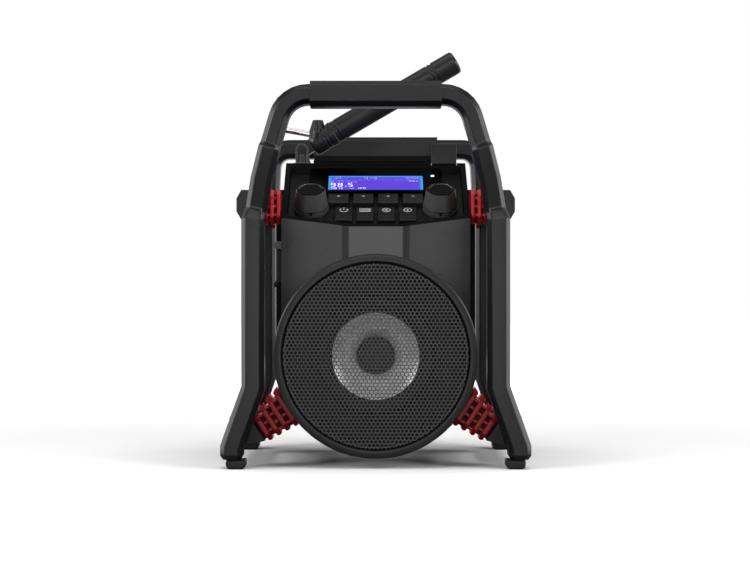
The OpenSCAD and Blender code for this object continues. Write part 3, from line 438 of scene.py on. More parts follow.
# Painted shade: a dark felt ring laid behind the grille to darken the space there
BAFFLE_SHADE = Finish("baffle_felt", (0.016, 0.016, 0.0163), roughness=0.8, shine=0.2, grain=0.0005,
                relief=0.3, wear_and_highlight=0.0)
BASKET = Finish("basket_steel", (0.012, 0.012, 0.0123), shine=0.4)
SURROUND = Finish("surround_rubber", (0.01, 0.01, 0.0103), roughness=0.55, shine=0.3, wear_and_highlight=0.0)
CONE = Finish("cone_aluminium", (0.95, 0.95, 0.96), roughness=0.3, metallic=0.3, grain=0.0003,
              relief=0.05, mottle=0.03, rounding=0.0002, wear_and_highlight=0.0)
CAP = Finish("cap_plastic", (0.04, 0.04, 0.041), roughness=0.6, shine=0.3, wear_and_highlight=0.0)
COPPER = Finish("coil_copper", (0.7, 0.33, 0.16), roughness=0.35, metallic=1.0, grain=0.0003)
CLOTH = Finish("spider_cloth", (0.5, 0.3, 0.08), roughness=0.85, shine=0.2, grain=0.0006, relief=0.5)
FERRITE = Finish("magnet_ferrite", (0.03, 0.03, 0.031), metallic=0.3)
DARK_SCREW = Finish("blackened_screw", (0.012, 0.012, 0.0125), roughness=0.4, metallic=0.6,
                    grain=0.0003, slot="steel_screw")

# Controls
DECK = Finish("deck_plastic", (0.005, 0.005, 0.0052), roughness=0.34, shine=0.2, wear_and_highlight=0.05, dust=0.005)
BEZEL = Finish("bezel_gloss", (0.0008, 0.0008, 0.001), roughness=0.1, shine=0.05, grain=0.002,
               relief=0.01, mottle=0.0, rounding=0.0004, wear_and_highlight=0.0, dust=0.0)
BOARD = Finish("board_green", (0.01, 0.07, 0.03), roughness=0.35, grain=0.001, relief=0.1)
SWITCH = Finish("switch_plastic", (0.02, 0.02, 0.02))
PLATED = Finish("encoder_steel", (0.45, 0.45, 0.45), roughness=0.35, metallic=1.0)
COLLAR = Finish("collar_plastic", (0.05, 0.05, 0.051), roughness=0.35, wear_and_highlight=0.4, worn_and_highlight=(0.3, 0.3, 0.3))
SHAFT = Finish("shaft_steel", (0.55, 0.55, 0.55), roughness=0.3, metallic=1.0)
KNOB = Finish("knob_plastic", (0.068, 0.068, 0.0685), roughness=0.32, rounding=0.0008, wear_and_highlight=0.3)
# Painted shade: a darker copy of the knob plastic for the faces that look up out of the knob's top
KNOB_TOP_SHADE = Finish("knob_top", (0.002, 0.002, 0.0021), roughness=0.4, shine=0.12, wear_and_highlight=0.0, dust=0.0)
KEY = Finish("key_plastic", (0.01, 0.01, 0.0103), roughness=0.34, shine=0.4, rounding=0.0005,
             wear_and_highlight=0.3, dust=0.005)
FLAT_KEY = Finish("flat_key", (0.005, 0.005, 0.0052), roughness=0.36, shine=0.25, rounding=0.0005,
                  wear_and_highlight=0.3, dust=0.0, slot="key_plastic")
SCREEN = ScreenGlow(slot="display_glass")
# White print on the keys, made to glow: painted light
PRINT_PAINTED_GLOW = Glow("white_print", (0.8, 0.82, 0.85), 0.45)
SCREEN_MARK = Glow("screen_mark", (0.82, 0.85, 1.0), 1.1)
LED = Glow("led_lens", (0.3, 0.6, 1.0), 4.0)

# Antenna
BRACKET = Finish("bracket_metal", (0.046, 0.046, 0.047), roughness=0.38, shine=0.4,
                 wear_and_highlight=0.8, worn_and_highlight=(0.35, 0.35, 0.35))
HINGE_PIN = Finish("blackened_pin", (0.02, 0.02, 0.021), roughness=0.4, metallic=0.4, grain=0.0003,
                   slot="shaft_steel")
SKIN = Finish("antenna_rubber", (0.013, 0.013, 0.0133), roughness=0.34, shine=0.45)
CLIP = Finish("clip_plastic", (0.012, 0.012, 0.0123), roughness=0.34, shine=0.45)
LOCK = Finish("lock_plastic", (0.009, 0.009, 0.0092), roughness=0.34, shine=0.3, wear_and_highlight=0.2)
CHROME = Finish("lock_chrome", (0.85, 0.85, 0.86), roughness=0.08, metallic=1.0, grain=0.0004,
                relief=0.01, mottle=0.02, wear_and_highlight=0.0, dust=0.0)


# ---- Mesh making ----

def lathe(bm: BMesh, profile: Sequence[Spot], steps: int = 96, closed: bool = False) -> None:
    """Spins a profile of (radius, height) about Z.

    Args:
        bm: the mesh to add to.
        profile: points in order, from the axis or round a closed section.
        steps: faces round the shape.
        closed: whether the last point joins the first.
    """
    verts = [bm.verts.new((r, 0.0, h)) for r, h in profile]
    pairs = list(zip(verts, verts[1:])) + ([(verts[-1], verts[0])] if closed else [])
    edges = [bm.edges.new(pair) for pair in pairs]
    bmesh.ops.spin(bm, geom=verts + edges, cent=(0, 0, 0), axis=(0, 0, 1), dvec=(0, 0, 0),
                   angle=2 * math.pi, steps=steps, use_merge=True, use_normal_flip=False, use_duplicate=False)
    bmesh.ops.remove_doubles(bm, verts=bm.verts, dist=WELD)
    bmesh.ops.recalc_face_normals(bm, faces=bm.faces)


def round_edges(bm: BMesh, width: float, segments: int = 2, least: float = 25.0,
                chosen: Optional[Callable[[Edge], bool]] = None) -> None:
    """Bevels the sharp edges.

    Args:
        bm: the mesh.
        width: how far each bevel reaches, in the mesh's unit.
        segments: facets across each bevel.
        least: the face angle from which an edge counts as sharp, in degrees.
        chosen: a further test that an edge has to pass.
    """
    bm.normal_update()
    edges = [e for e in bm.edges if len(e.link_faces) == 2
             and e.calc_face_angle(0.0) > math.radians(least) and (chosen is None or chosen(e))]
    if edges:
        bmesh.ops.bevel(bm, geom=edges, offset=width, offset_type="OFFSET", segments=segments, profile=0.5,
                        affect="EDGES", clamp_overlap=True, material=-1)


def part_off(bm: BMesh, chosen: Callable[[Face], bool]) -> BMesh:
    """Takes faces out of a mesh.

    Args:
        bm: the mesh.
        chosen: says of a face whether it goes.

    Returns:
        A mesh of the faces that went.
    """
    piece = bm.copy()
    bmesh.ops.delete(piece, geom=[f for f in piece.faces if not chosen(f)], context="FACES")
    bmesh.ops.delete(bm, geom=[f for f in bm.faces if chosen(f)], context="FACES")
    return piece


def merged_copy(node: str, weld: float = 0.003, flat: float = 0.4) -> BMesh:
    """Copies a frame node's mesh in millimetres, with its triangles merged.

    Args:
        node: the node's name.
        weld: vertices that lie nearer become one, in millimetres.
        flat: faces that meet at a smaller angle become one, in degrees.

    Returns:
        The copy.
    """
    bm = bmesh.new()
    bm.from_mesh(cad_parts[node].data)
    for layers in (bm.loops.layers.uv, bm.loops.layers.float_color, bm.loops.layers.color):
        for layer in list(layers.values()):
            layers.remove(layer)
    bmesh.ops.scale(bm, vec=(1.0 / MM,) * 3, verts=bm.verts)
    bmesh.ops.remove_doubles(bm, verts=bm.verts, dist=weld)
    bmesh.ops.dissolve_limit(bm, angle_limit=math.radians(flat), use_dissolve_boundaries=False,
                             verts=bm.verts, edges=bm.edges)
    return bm


# ---- Pieces ----

def finish_piece(name: str, bm: BMesh, look: Look, stands_for: Iterable[str] = (), body: str = RADIO,
                 place: Optional[Matrix] = None, smooth: float = SHADING_ANGLE) -> bpy.types.Object:
    """Turns a mesh in millimetres into a dressed piece that rides on a body.

    Args:
        name: the piece's name.
        bm: its mesh, which is used up.
        look: its surface.
        stands_for: frame nodes that it replaces.
        body: the frame body that carries it.
        place: where the mesh's own axes lie, in millimetres.
        smooth: faces that meet at a smaller angle shade as one, in degrees.

    Returns:
        The new object.
    """
    if place is not None:
        bmesh.ops.transform(bm, matrix=place, verts=bm.verts)
    bmesh.ops.scale(bm, vec=(MM,) * 3, verts=bm.verts)
    mesh = bpy.data.meshes.new(name)
    bm.to_mesh(mesh)
    bm.free()
    for extra in ("custom_normal", "sharp_face"):
        if extra in mesh.attributes:
            mesh.attributes.remove(mesh.attributes[extra])
    mesh.shade_smooth()
    mesh.set_sharp_from_angle(angle=math.radians(smooth))
    made = bpy.data.objects.new(name, mesh)
    bpy.context.scene.collection.objects.link(made)
    weighting = made.modifiers.new("flat_faces", "WEIGHTED_NORMAL")
    weighting.keep_sharp = True
    mesh.materials.append(look.material())
    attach(made, body)
    if stands_for:
        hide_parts(*stands_for)
    LOG.info("%s on %s: %d faces", name, body, len(mesh.polygons))
    return made


def soften(node: str, look: Look, width: float = 0.0, segments: int = 2, body: str = RADIO,
           smooth: float = SHADING_ANGLE) -> bpy.types.Object:
    """Replaces a frame node by its merged copy, with smooth shading and, if asked, rounded edges.

    Args:
        node: the frame node.
        look: its surface.
        width: how far the rounding reaches, in millimetres; 0 leaves the edges.
        segments: facets across each rounding.
        body: the body that carries it.
        smooth: the shading angle, in degrees.

    Returns:
        The new object.
    """
    bm = merged_copy(node)
    if width:
        round_edges(bm, width, segments)
    return finish_piece(node + "_body", bm, look, [node], body, smooth=smooth)


def dress(node: str, look: Look) -> None:
    """Gives a frame node, which stays as it is, its surface.

    Args:
        node: the frame node.
        look: its surface.
    """
    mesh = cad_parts[node].data
    mesh.materials.clear()
    mesh.materials.append(look.material())
    LOG.info("%s dressed in %s", node, look.name)


# ---- Roll cage ----

@dataclass
class RollCage:
    """Arches, grips, rails, beams, feet and plugs."""

    tube_round: float = 0.8
    tube_smooth: float = 30.0
    tie_round: float = 0.6
    grip_round: float = 0.35
    foot_round: float = 1.6

    def build(self) -> None:
        """Makes every piece of the cage."""
        for node in ("front_frame", "rear_frame"):
            soften(node, CAGE, self.tube_round, segments=3, smooth=self.tube_smooth)
        for tie, look in (("side_rail", CAGE), ("lower_beam", BEAM)):
            for side in ("left", "right"):
                soften(f"{tie}_{side}", look, self.tie_round)
        for node in ("front_grip", "rear_grip"):
            soften(node, GRIP, self.grip_round)
        soften("rubber_feet", FOOT, self.foot_round, segments=4)
        soften("damper_plugs", RED)


@dataclass
class Dampers:
    """Red bellows between the cage and the housing. Depths count from the middle plane of a bellows."""

    middle_y: float = 68.0
    lip_depth: float = 14.5
    core_depth: float = 7.1
    lip_round: float = 0.8

    def build(self) -> None:
        """Makes the four sets of bellows, with rounded lips, and the core between them painted a darker red
        as painted shade.
        """
        for level in ("upper", "lower"):
            for side in ("left", "right"):
                self.bellows(f"{level}_dampers_{side}")

    def bellows(self, node: str) -> None:
        """Makes one set, a front one and a rear one.

        Args:
            node: the frame node that it replaces.
        """
        bm = merged_copy(node)
        round_edges(bm, self.lip_round, segments=3,
                    chosen=lambda e: min(map(self.depth, e.verts)) > self.lip_depth)
        # The recessed core between the lips takes a darker red: painted shade
        core = part_off(bm, lambda f: max(map(self.depth, f.verts)) < self.core_depth)
        finish_piece(node + "_core", core, RED_PAINTED_SHADE)
        finish_piece(node + "_body", bm, RED, [node])

    def depth(self, vert: Vert) -> float:
        """Returns how far a vertex lies from the bellows' middle plane."""
        return abs(abs(vert.co.y) - self.middle_y)


# ---- Housing ----

@dataclass
class Housing:
    """Shells, seal, screws, door, latch, ports and cover."""

    shell_smooth: float = 9.0
    cover_round: float = 0.5
    latch_round: float = 0.4
    pack_round: float = 0.8

    # The seam flanges lie further out and further back than these; they take the rim's near-black as painted
    # shade
    flange_x: float = 82.8
    flange_y: float = 27.9

    # The panel recess: half its width, its lowest point and its depth
    recess_x: float = 83.7
    recess_low: float = 199.0
    recess_deep: float = 14.5

    # The step beside the middle plate: between these widths, in front of this plane, facing forward; it is
    # painted darker as shade
    band_inner: float = 23.6
    band_outer: float = 29.8
    band_y: float = -103.0
    band_facing: float = -0.7

    def build(self) -> None:
        """Makes the housing's pieces."""
        self.front()
        soften("rear_housing", SHELL, smooth=self.shell_smooth)
        soften("housing_seal", SEAL)
        soften("housing_screws", SCREW)
        soften("port_block", PORT)
        soften("port_cover", COVER, self.cover_round, body="port_cover")
        soften("battery_door", DOOR, body="battery_door")
        soften("battery_latch", LATCH, self.latch_round, body="battery_latch")
        soften("battery_pack", PACK, self.pack_round)

    def front(self) -> None:
        """Makes the front shell, with its near-black panel rim, the same near-black as painted shade on the
        recess walls and seam flanges, and the step beside its middle plate painted darker as shade.
        """
        shell = merged_copy("front_housing")
        for name, look, chosen in (("panel_rim_and_painted_shade", RIM_AND_SHADE, self.on_rim_and_shade), ("shell_bands_painted_shade", BAND_SHADE, self.on_band)):
            finish_piece(name, part_off(shell, chosen), look, smooth=self.shell_smooth)
        finish_piece("front_housing_body", shell, SHELL, ["front_housing"], smooth=self.shell_smooth)

    def on_rim_and_shade(self, face: Face) -> bool:
        """Tells the rim and the walls of the panel recess, and the seam flanges, from the shell. The walls
        and flanges take the rim's near-black as painted shade.

        Args:
            face: a face of the front shell.

        Returns:
            Whether it is one of theirs.
        """
        places = [v.co for v in face.verts]
        if all(abs(p.x) > self.flange_x and p.y > self.flange_y for p in places):
            return True
        deepest = min((p - PANEL_FOOT).dot(PANEL_OUT) for p in places)
        return deepest > -self.recess_deep and all(abs(p.x) < self.recess_x and p.z > self.recess_low
                                                   for p in places)

    def on_band(self, face: Face) -> bool:
        """Tells the sloping step on either side of the middle plate from the shell. The step is painted
        darker as shade.

        Args:
            face: a face of the front shell.

        Returns:
            Whether it belongs to the step.
        """
        across = [abs(v.co.x) for v in face.verts]
        return (min(across) > self.band_inner and max(across) < self.band_outer
                and face.normal.y < self.band_facing and all(v.co.y < self.band_y for v in face.verts))


# ---- Speaker ----

@dataclass
class Speaker:
    """Ring, perforated grille, cone and what carries them.

    Heights count forward along the speaker's axis. Those of the seat, the ring's front and the
    grille's front are from the frame's plane, and the rest are from the seat.
    """

    seat: float = 105.6
    ring_front: float = 114.0
    ring_r: float = 89.5
    ring_bore: float = 79.4
    ring_face: float = 6.9
    ring_step: float = 2.8
    gasket_bore: float = 80.6
    gasket_thick: float = 0.29

    pitch: float = 3.6
    hole_across: float = 2.95
    hole_sides: int = 12
    grille_r: float = 81.2
    grille_front: float = 112.4
    grille_thick: float = 0.8
    grille_spill: float = 1.0
    grille_weld: float = 0.02
    grille_least: float = 0.03
    grille_smooth: float = 40.0

    washer_r: tuple[float, float] = (4.6, 4.3)
    washer_thick: float = 0.5
    washer_up: float = 3.5
    screw_r: float = 75.0
    screw_turns: tuple[float, ...] = (25, 50, 130, 155, 234, 306)

    roll_r: float = 46.6
    roll_outer: tuple[float, float] = (5.1, 2.4)
    roll_inner: tuple[float, float] = (4.3, 1.9)

    cone_r: float = 39.0
    cone_up: float = 1.5
    cone_deep: float = 20.0
    cone_bow: float = 0.38
    cone_thick: float = 0.8
    cone_steps: int = 128
    cap_r: float = 16.5
    cap_up: float = -18.0
    cap_high: float = 6.0

    def build(self) -> None:
        """Makes the speaker's pieces."""
        self.ring()
        self.grille()
        dress("speaker_basket", BASKET)
        self.baffle()
        self.washers()
        self.surround()
        self.cone()
        self.cap()
        soften("speaker_screws", DARK_SCREW)
        soften("voice_coil", COPPER)
        soften("speaker_spider", CLOTH)
        soften("speaker_magnet", FERRITE)

    def turned(self, name: str, profile: Sequence[Spot], look: Look, stands_for: Iterable[str] = (),
               steps: int = 96, closed: bool = True) -> None:
        """Makes a turned piece on the speaker's axis.

        Args:
            name: the piece's name.
            profile: its section, as (radius, height).
            look: its surface.
            stands_for: frame nodes that it replaces.
            steps: faces round the shape.
            closed: whether the section's last point joins its first.
        """
        bm = bmesh.new()
        lathe(bm, profile, steps, closed)
        finish_piece(name, bm, look, stands_for, place=SPEAKER)

    def ring(self) -> None:
        """Makes the trim ring, with a rounded outer edge and lip, and the gasket in its step."""
        front, seat, r = self.ring_front, self.seat, self.ring_r
        lip, step = r - self.ring_face, front - self.ring_step
        section = [(self.ring_bore, seat), (r - 1.0, seat), (r, seat + 1.0), (r, front - 2.0),
                   (r - 0.4, front - 0.9), (r - 1.4, front - 0.3), (r - 5.6, front),
                   (r - 6.4, front - 0.3), (lip, front - 1.2), (lip, step), (self.ring_bore, step)]
        self.turned("speaker_ring_body", section, RING, ["speaker_ring"], steps=160)
        low, outer = step + 0.01, lip - 0.05
        high = low + self.gasket_thick
        section = [(self.gasket_bore, low), (outer, low), (outer, high), (self.gasket_bore, high)]
        self.turned("grille_gasket", section, SEAL, steps=160)

    def grille(self) -> None:
        """Makes the perforated sheet, its holes on a triangular grid that the round edge cuts."""
        bm = bmesh.new()
        bmesh.ops.create_circle(bm, segments=6, radius=self.pitch / math.sqrt(3), cap_ends=False)
        bmesh.ops.subdivide_edges(bm, edges=bm.edges[:], cuts=self.hole_sides // 6 - 1)
        bmesh.ops.create_circle(bm, segments=self.hole_sides, radius=self.hole_across / 2, cap_ends=False)
        bmesh.ops.bridge_loops(bm, edges=bm.edges[:])
        cell = bpy.data.meshes.new("grille_cell")
        bm.to_mesh(cell)
        bm.clear()
        row = self.pitch * math.sin(math.radians(60))
        reach = self.grille_r + self.grille_spill
        count = int(reach / row) + 1
        last = Vector()
        for j in range(-count, count + 1):
            for i in range(-count, count + 1):
                spot = Vector(((i + (j % 2) / 2) * self.pitch, j * row, 0))
                if spot.length < reach:
                    cell.transform(Matrix.Translation(spot - last))
                    bm.from_mesh(cell)
                    last = spot
        bpy.data.meshes.remove(cell)
        self.trim(bm)
        bmesh.ops.solidify(bm, geom=list(bm.faces), thickness=self.grille_thick)
        place = SPEAKER @ Matrix.Translation((0, 0, self.grille_front))
        finish_piece("speaker_grille_sheet", bm, MESH, ["speaker_grille"], place=place,
                     smooth=self.grille_smooth)

    def trim(self, bm: BMesh) -> None:
        """Joins the grille's cells into one sheet that ends on its round edge.

        Args:
            bm: the cells, flat in X and Y.
        """
        bmesh.ops.remove_doubles(bm, verts=bm.verts, dist=self.grille_weld)
        for v in bm.verts:
            v.co *= min(1.0, self.grille_r / max(v.co.length, 1.0))
        bmesh.ops.dissolve_degenerate(bm, dist=self.grille_least, edges=bm.edges)
        bm.normal_update()
        bmesh.ops.reverse_faces(bm, faces=[f for f in bm.faces if f.normal.z < 0])

    def baffle(self) -> None:
        """Makes the dark felt ring that darkens the space behind the grille, as painted shade."""
        s = self.seat
        self.turned("baffle_felt_ring", [(55.2, s + 2.65), (79.0, s + 2.65), (79.0, s + 3.3), (57.1, s + 3.3),
                                         (57.1, s + 3.7), (55.2, s + 3.7)], BAFFLE_SHADE)

    def washers(self) -> None:
        """Makes a washer under the head of each speaker screw."""
        bm = bmesh.new()
        out = Matrix.Translation((self.screw_r, 0, self.seat + self.washer_up))
        for turn in self.screw_turns:
            bmesh.ops.create_cone(bm, cap_ends=True, segments=32, radius1=self.washer_r[0],
                                  radius2=self.washer_r[1], depth=self.washer_thick,
                                  matrix=Matrix.Rotation(math.radians(turn), 4, "Z") @ out)
        finish_piece("screw_washers", bm, SEAL, place=SPEAKER)

    def roll(self, size: Spot, foot: float, steps: int = 14) -> list[Spot]:
        """Draws the half roll of the surround.

        Args:
            size: half its width, and its height.
            foot: the height that it stands on.
            steps: its facets.

        Returns:
            Its points, from the outside in.
        """
        turns = [math.pi * k / steps for k in range(steps + 1)]
        return [(self.roll_r + size[0] * math.cos(a), foot + size[1] * math.sin(a)) for a in turns]

    def surround(self) -> None:
        """Makes the rubber surround: a hollow half roll between two flat rims."""
        s = self.seat
        outer = self.roll(self.roll_outer, s + 2.5)
        inner = self.roll(self.roll_inner, s + 1.9)[::-1]
        section = [(55.0, s + 2.7), (55.0, s + 3.6), (53.7, s + 3.6), (53.3, s + 3.1), (53.0, s + 1.6),
                   (52.2, s + 1.6), *outer, (39.4, s + 2.3), (38.3, s + 2.1), (38.3, s + 1.5),
                   (39.3, s + 0.9), *inner, (53.8, s + 0.9)]
        self.turned("speaker_surround_body", section, SURROUND, ["speaker_surround"])

    def cone(self, steps: int = 14) -> None:
        """Makes the bowed cone, from the surround down to the dust cap.

        Args:
            steps: facets along the bow.
        """
        front = []
        for t in (k / steps for k in range(steps + 1)):
            drop = (1 - self.cone_bow) * t + self.cone_bow * t * t
            front.append((self.cone_r - t * (self.cone_r - self.cap_r - 0.6),
                          self.seat + self.cone_up - self.cone_deep * drop))
        back = [(r, h - self.cone_thick) for r, h in reversed(front)]
        self.turned("speaker_cone_body", front + back, CONE, ["speaker_cone"], steps=self.cone_steps)

    def cap(self, steps: int = 10) -> None:
        """Makes the domed dust cap.

        Args:
            steps: facets from the middle of the dome to its rim.
        """
        foot, skirt = self.seat + self.cap_up, self.cap_r + 0.4
        turns = [math.pi / 2 * k / steps for k in range(steps + 1)]
        dome = [(self.cap_r * math.sin(a), foot + self.cap_high * math.cos(a)) for a in turns]
        section = [*dome, (skirt, foot - 0.2), (skirt, foot - 1.0), (0.0, foot - 1.0)]
        self.turned("dust_cap_body", section, CAP, ["dust_cap"], closed=False)


# ---- Controls ----

class Symbol(Enum):
    """The plain symbols on the function keys, in their order."""

    POWER = 1
    MENU = 2
    PLAY = 3
    MODE = 4


class Stencil:
    """Draws flat marks in X and Y, which then are printed on a surface."""

    STROKES = {"a": ((0, 2), (1, 2)), "b": ((1, 1), (1, 2)), "c": ((1, 0), (1, 1)), "d": ((0, 0), (1, 0)),
               "e": ((0, 0), (0, 1)), "f": ((0, 1), (0, 2)), "g": ((0, 1), (1, 1))}
    FIGURES = ("abcdef", "bc", "abged", "abgcd", "fgbc", "afgcd", "afgedc", "abc", "abcdefg", "abcdfg")
    FIGURE_WIDE = 0.5
    FIGURE_PEN = 0.2
    FIGURE_GAP = 2.4

    def __init__(self) -> None:
        """Starts with an empty mesh."""
        self.bm = bmesh.new()

    def dot(self, r: float, sides: int) -> None:
        """Adds a filled disc in the middle."""
        bmesh.ops.create_circle(self.bm, cap_ends=True, segments=sides, radius=r)

    def arc(self, r: float, width: float, start: float = 0.0, end: float = 360.0) -> None:
        """Adds a ring, or a stretch of one.

        Args:
            r: its outer radius.
            width: its width, inwards.
            start: the angle at which it starts, in degrees.
            end: the angle at which it ends, in degrees.
        """
        steps = max(8, int((end - start) / 12))
        for k in range(steps):
            corners = []
            for at, q in ((k, r), (k + 1, r), (k + 1, r - width), (k, r - width)):
                turn = math.radians(start + (end - start) * at / steps)
                corners.append(self.bm.verts.new((q * math.cos(turn), q * math.sin(turn), 0)))
            self.bm.faces.new(corners)
        bmesh.ops.remove_doubles(self.bm, verts=self.bm.verts, dist=WELD)

    def strip(self, a: Spot, b: Spot, width: float) -> None:
        """Adds a bar.

        Args:
            a: the middle of its one end.
            b: the middle of its other end.
            width: its width.
        """
        start, stop = Vector(a), Vector(b)
        along = stop - start
        aside = Vector((-along.y, along.x)).normalized() * width / 2
        corners = (start - aside, stop - aside, stop + aside, start + aside)
        self.bm.faces.new([self.bm.verts.new((*c, 0)) for c in corners])

    def figures(self, digits: str, left: float, low: float, height: float) -> None:
        """Adds seven-stroke figures.

        Args:
            digits: figures and points.
            left: where they start.
            low: their foot line.
            height: their height.
        """
        wide, half, pen = height * self.FIGURE_WIDE, height / 2, height * self.FIGURE_PEN
        for digit in digits:
            if digit == ".":
                self.strip((left - 0.1, low), (left + pen, low), pen)
                left += pen * self.FIGURE_GAP
                continue
            for stroke in self.FIGURES[int(digit)]:
                a, b = [(left + x * wide, low + y * half) for x, y in self.STROKES[stroke]]
                self.strip(a, b, pen)
            left += wide + pen * self.FIGURE_GAP


@dataclass
class ControlPanel:
    """Deck, bezel, display, keys and knobs. Places are across and up the panel, and out of it."""

    led_round: float = 0.5
    soft_round: float = 0.45
    function_round: float = 0.5

    knob_across: float = 57.9
    knob_up: float = 27.0
    knob_foot: float = -1.4
    knob_h: float = 17.0
    knob_foot_r: float = 16.7
    knob_top_r: float = 14.0
    knob_corner: float = 4.2
    knob_edge: float = 1.6
    knob_smooth: float = 24.0
    dish_rim: float = 0.5
    dish_wall: float = 0.4
    dish_deep: float = 0.6
    dish_reach: float = 2.2
    dish_facing: float = 0.6

    soft_up: float = 45.2
    soft_pitch: float = 22.4
    soft_out: float = -1.0
    dot_r: float = 1.5
    function_up: float = 16.6
    function_pitch: float = 19.0
    function_out: float = -0.6
    symbol_r: float = 3.9
    symbol_pen: float = 1.0
    screen_up: float = 72.8
    screen_out: float = -1.5
    print_thick: float = 0.06

    def build(self) -> None:
        """Makes the panel's pieces."""
        soften("panel_deck", DECK)
        soften("display_bezel", BEZEL)
        soften("display_screen", SCREEN)
        soften("status_led", LED, self.led_round, segments=3)
        soften("main_board", BOARD)
        soften("key_switches", SWITCH)
        soften("encoders", PLATED)
        soften("knob_collars", COLLAR)
        for symbol in Symbol:
            soft_key, function_key = f"soft_key_{symbol.value}", f"function_key_{symbol.value}"
            soften(soft_key, KEY, self.soft_round, segments=3, body=soft_key)
            soften(function_key, FLAT_KEY, self.function_round, segments=3, body=function_key)
            self.soft_mark(symbol)
            self.function_mark(symbol)
        for side, name in ((-1, "volume"), (1, "tuning")):
            soften(f"{name}_shaft", SHAFT, body=f"{name}_spindle")
            self.knob(side, name)
        self.screen_marks()

    def knob(self, side: int, name: str) -> None:
        """Makes a tapered six-sided knob with a dished top, whose upward faces are painted darker as shade.

        Args:
            side: -1 for the left knob, 1 for the right one.
            name: the knob's name.
        """
        bm = bmesh.new()
        rise = Matrix.Translation((0, 0, self.knob_h / 2)) @ Matrix.Rotation(math.radians(30), 4, "Z")
        bmesh.ops.create_cone(bm, cap_ends=True, cap_tris=False, segments=6, radius1=self.knob_foot_r,
                              radius2=self.knob_top_r, depth=self.knob_h, matrix=rise)
        round_edges(bm, self.knob_corner, segments=6, least=30,
                    chosen=lambda e: abs(e.verts[0].co.z - e.verts[1].co.z) > 1)
        top = self.top_of(bm)
        round_edges(bm, self.knob_edge, segments=4, least=30, chosen=lambda e: top in e.link_faces)
        bm.normal_update()
        top = self.top_of(bm)
        for wide, deep in ((self.dish_rim, 0.0), (self.dish_wall, -self.dish_deep)):
            bmesh.ops.inset_region(bm, faces=[top], thickness=wide, depth=deep, use_even_offset=True)
        bm.normal_update()
        dish_low = self.knob_h - self.dish_reach
        # The faces that look up out of the top take a darker finish: painted shade
        dish = part_off(bm, lambda f: f.normal.z > self.dish_facing and f.calc_center_median().z > dish_low)
        place = PANEL @ Matrix.Translation((side * self.knob_across, self.knob_up, self.knob_foot))
        knob = f"{name}_knob"
        finish_piece(knob + "_painted_shade_top", dish, KNOB_TOP_SHADE, body=knob, place=place)
        finish_piece(knob + "_body", bm, KNOB, [knob], knob, place, self.knob_smooth)

    @staticmethod
    def top_of(bm: BMesh) -> Face:
        """Returns the face whose middle is the highest."""
        return max(bm.faces, key=lambda f: f.calc_center_median().z)

    def mark(self, name: str, stencil: Stencil, look: Look, body: str,
             place: tuple[float, float, float]) -> None:
        """Prints a flat mark.

        Args:
            name: the piece's name.
            stencil: its shape.
            look: its surface.
            body: the body that it is printed on.
            place: its middle, across, up and out of the panel.
        """
        bm = stencil.bm
        bmesh.ops.solidify(bm, geom=list(bm.faces), thickness=self.print_thick)
        bmesh.ops.recalc_face_normals(bm, faces=bm.faces)
        finish_piece(name, bm, look, body=body, place=PANEL @ Matrix.Translation(place))

    @staticmethod
    def column(symbol: Symbol, pitch: float) -> float:
        """Returns where a key's middle lies across the panel, in a row of that pitch."""
        return (symbol.value - (len(Symbol) + 1) / 2) * pitch

    def soft_mark(self, symbol: Symbol) -> None:
        """Prints the white dot on a soft key, which glows as painted light.

        Args:
            symbol: that of the function key below it.
        """
        stencil = Stencil()
        stencil.dot(self.dot_r, 20)
        self.mark(f"soft_key_dot_{symbol.value}", stencil, PRINT_PAINTED_GLOW, f"soft_key_{symbol.value}",
                  (self.column(symbol, self.soft_pitch), self.soft_up, self.soft_out))

    def function_mark(self, symbol: Symbol) -> None:
        """Prints the symbol on a function key, which glows as painted light.

        Args:
            symbol: the key's symbol.
        """
        stencil = Stencil()
        if symbol is Symbol.POWER:
            stencil.arc(self.symbol_r, self.symbol_pen, 130, 410)
            stencil.strip((0, 0.8), (0, 4.8), self.symbol_pen)
        elif symbol is Symbol.MENU:
            for up in (-2.3, 0.0, 2.3):
                stencil.strip((-5.2, up), (5.2, up), 1.4)
        elif symbol is Symbol.PLAY:
            stencil.arc(self.symbol_r, self.symbol_pen)
            stencil.dot(self.dot_r, 16)
        else:
            stencil.arc(self.symbol_r, self.symbol_pen)
            stencil.strip((0, -2.1), (0, 2.1), 1.1)
        self.mark(f"function_key_mark_{symbol.value}", stencil, PRINT_PAINTED_GLOW, f"function_key_{symbol.value}",
                  (self.column(symbol, self.function_pitch), self.function_up, self.function_out))

    def screen_marks(self) -> None:
        """Prints signal bars, a rule, a battery, a box and figures on the display."""
        stencil = Stencil()
        # Signal bars and the rule below them
        for k in range(5):
            x = -39.2 + 1.7 * k
            stencil.strip((x, 8.6), (x, 9.6 + 0.9 * k), 1.1)
        stencil.strip((-41, 6.6), (33, 6.6), 0.5)
        # Cells of the battery, and the bar below them
        for k in range(6):
            x = 28.6 + 2.0 * k
            stencil.strip((x, 8.6), (x, 12.4), 1.4)
        stencil.strip((30.2, 4.4), (39.0, 4.4), 2.6)
        # A box of two panes
        for y in (1.9, 4.5):
            stencil.strip((-26.4, y), (-17.2, y), 0.6)
        for x in (-26.1, -21.8, -17.5):
            stencil.strip((x, 1.6), (x, 4.8), 0.6)
        # The dash between the lowest figures
        stencil.strip((-24.0, -10.5), (-20.0, -10.5), 0.7)
        for digits, left, low, height in (("12.48", -12.0, 8.8, 3.2), ("0123", -40.4, 1.6, 3.2),
                                          ("98.5", -40.4, -6.6, 6.4), ("0875", -40.4, -12.0, 3.0),
                                          ("108", -17.0, -12.0, 3.0)):
            stencil.figures(digits, left, low, height)
        self.mark("display_marks", stencil, SCREEN_MARK, RADIO, (0.0, self.screen_up, self.screen_out))


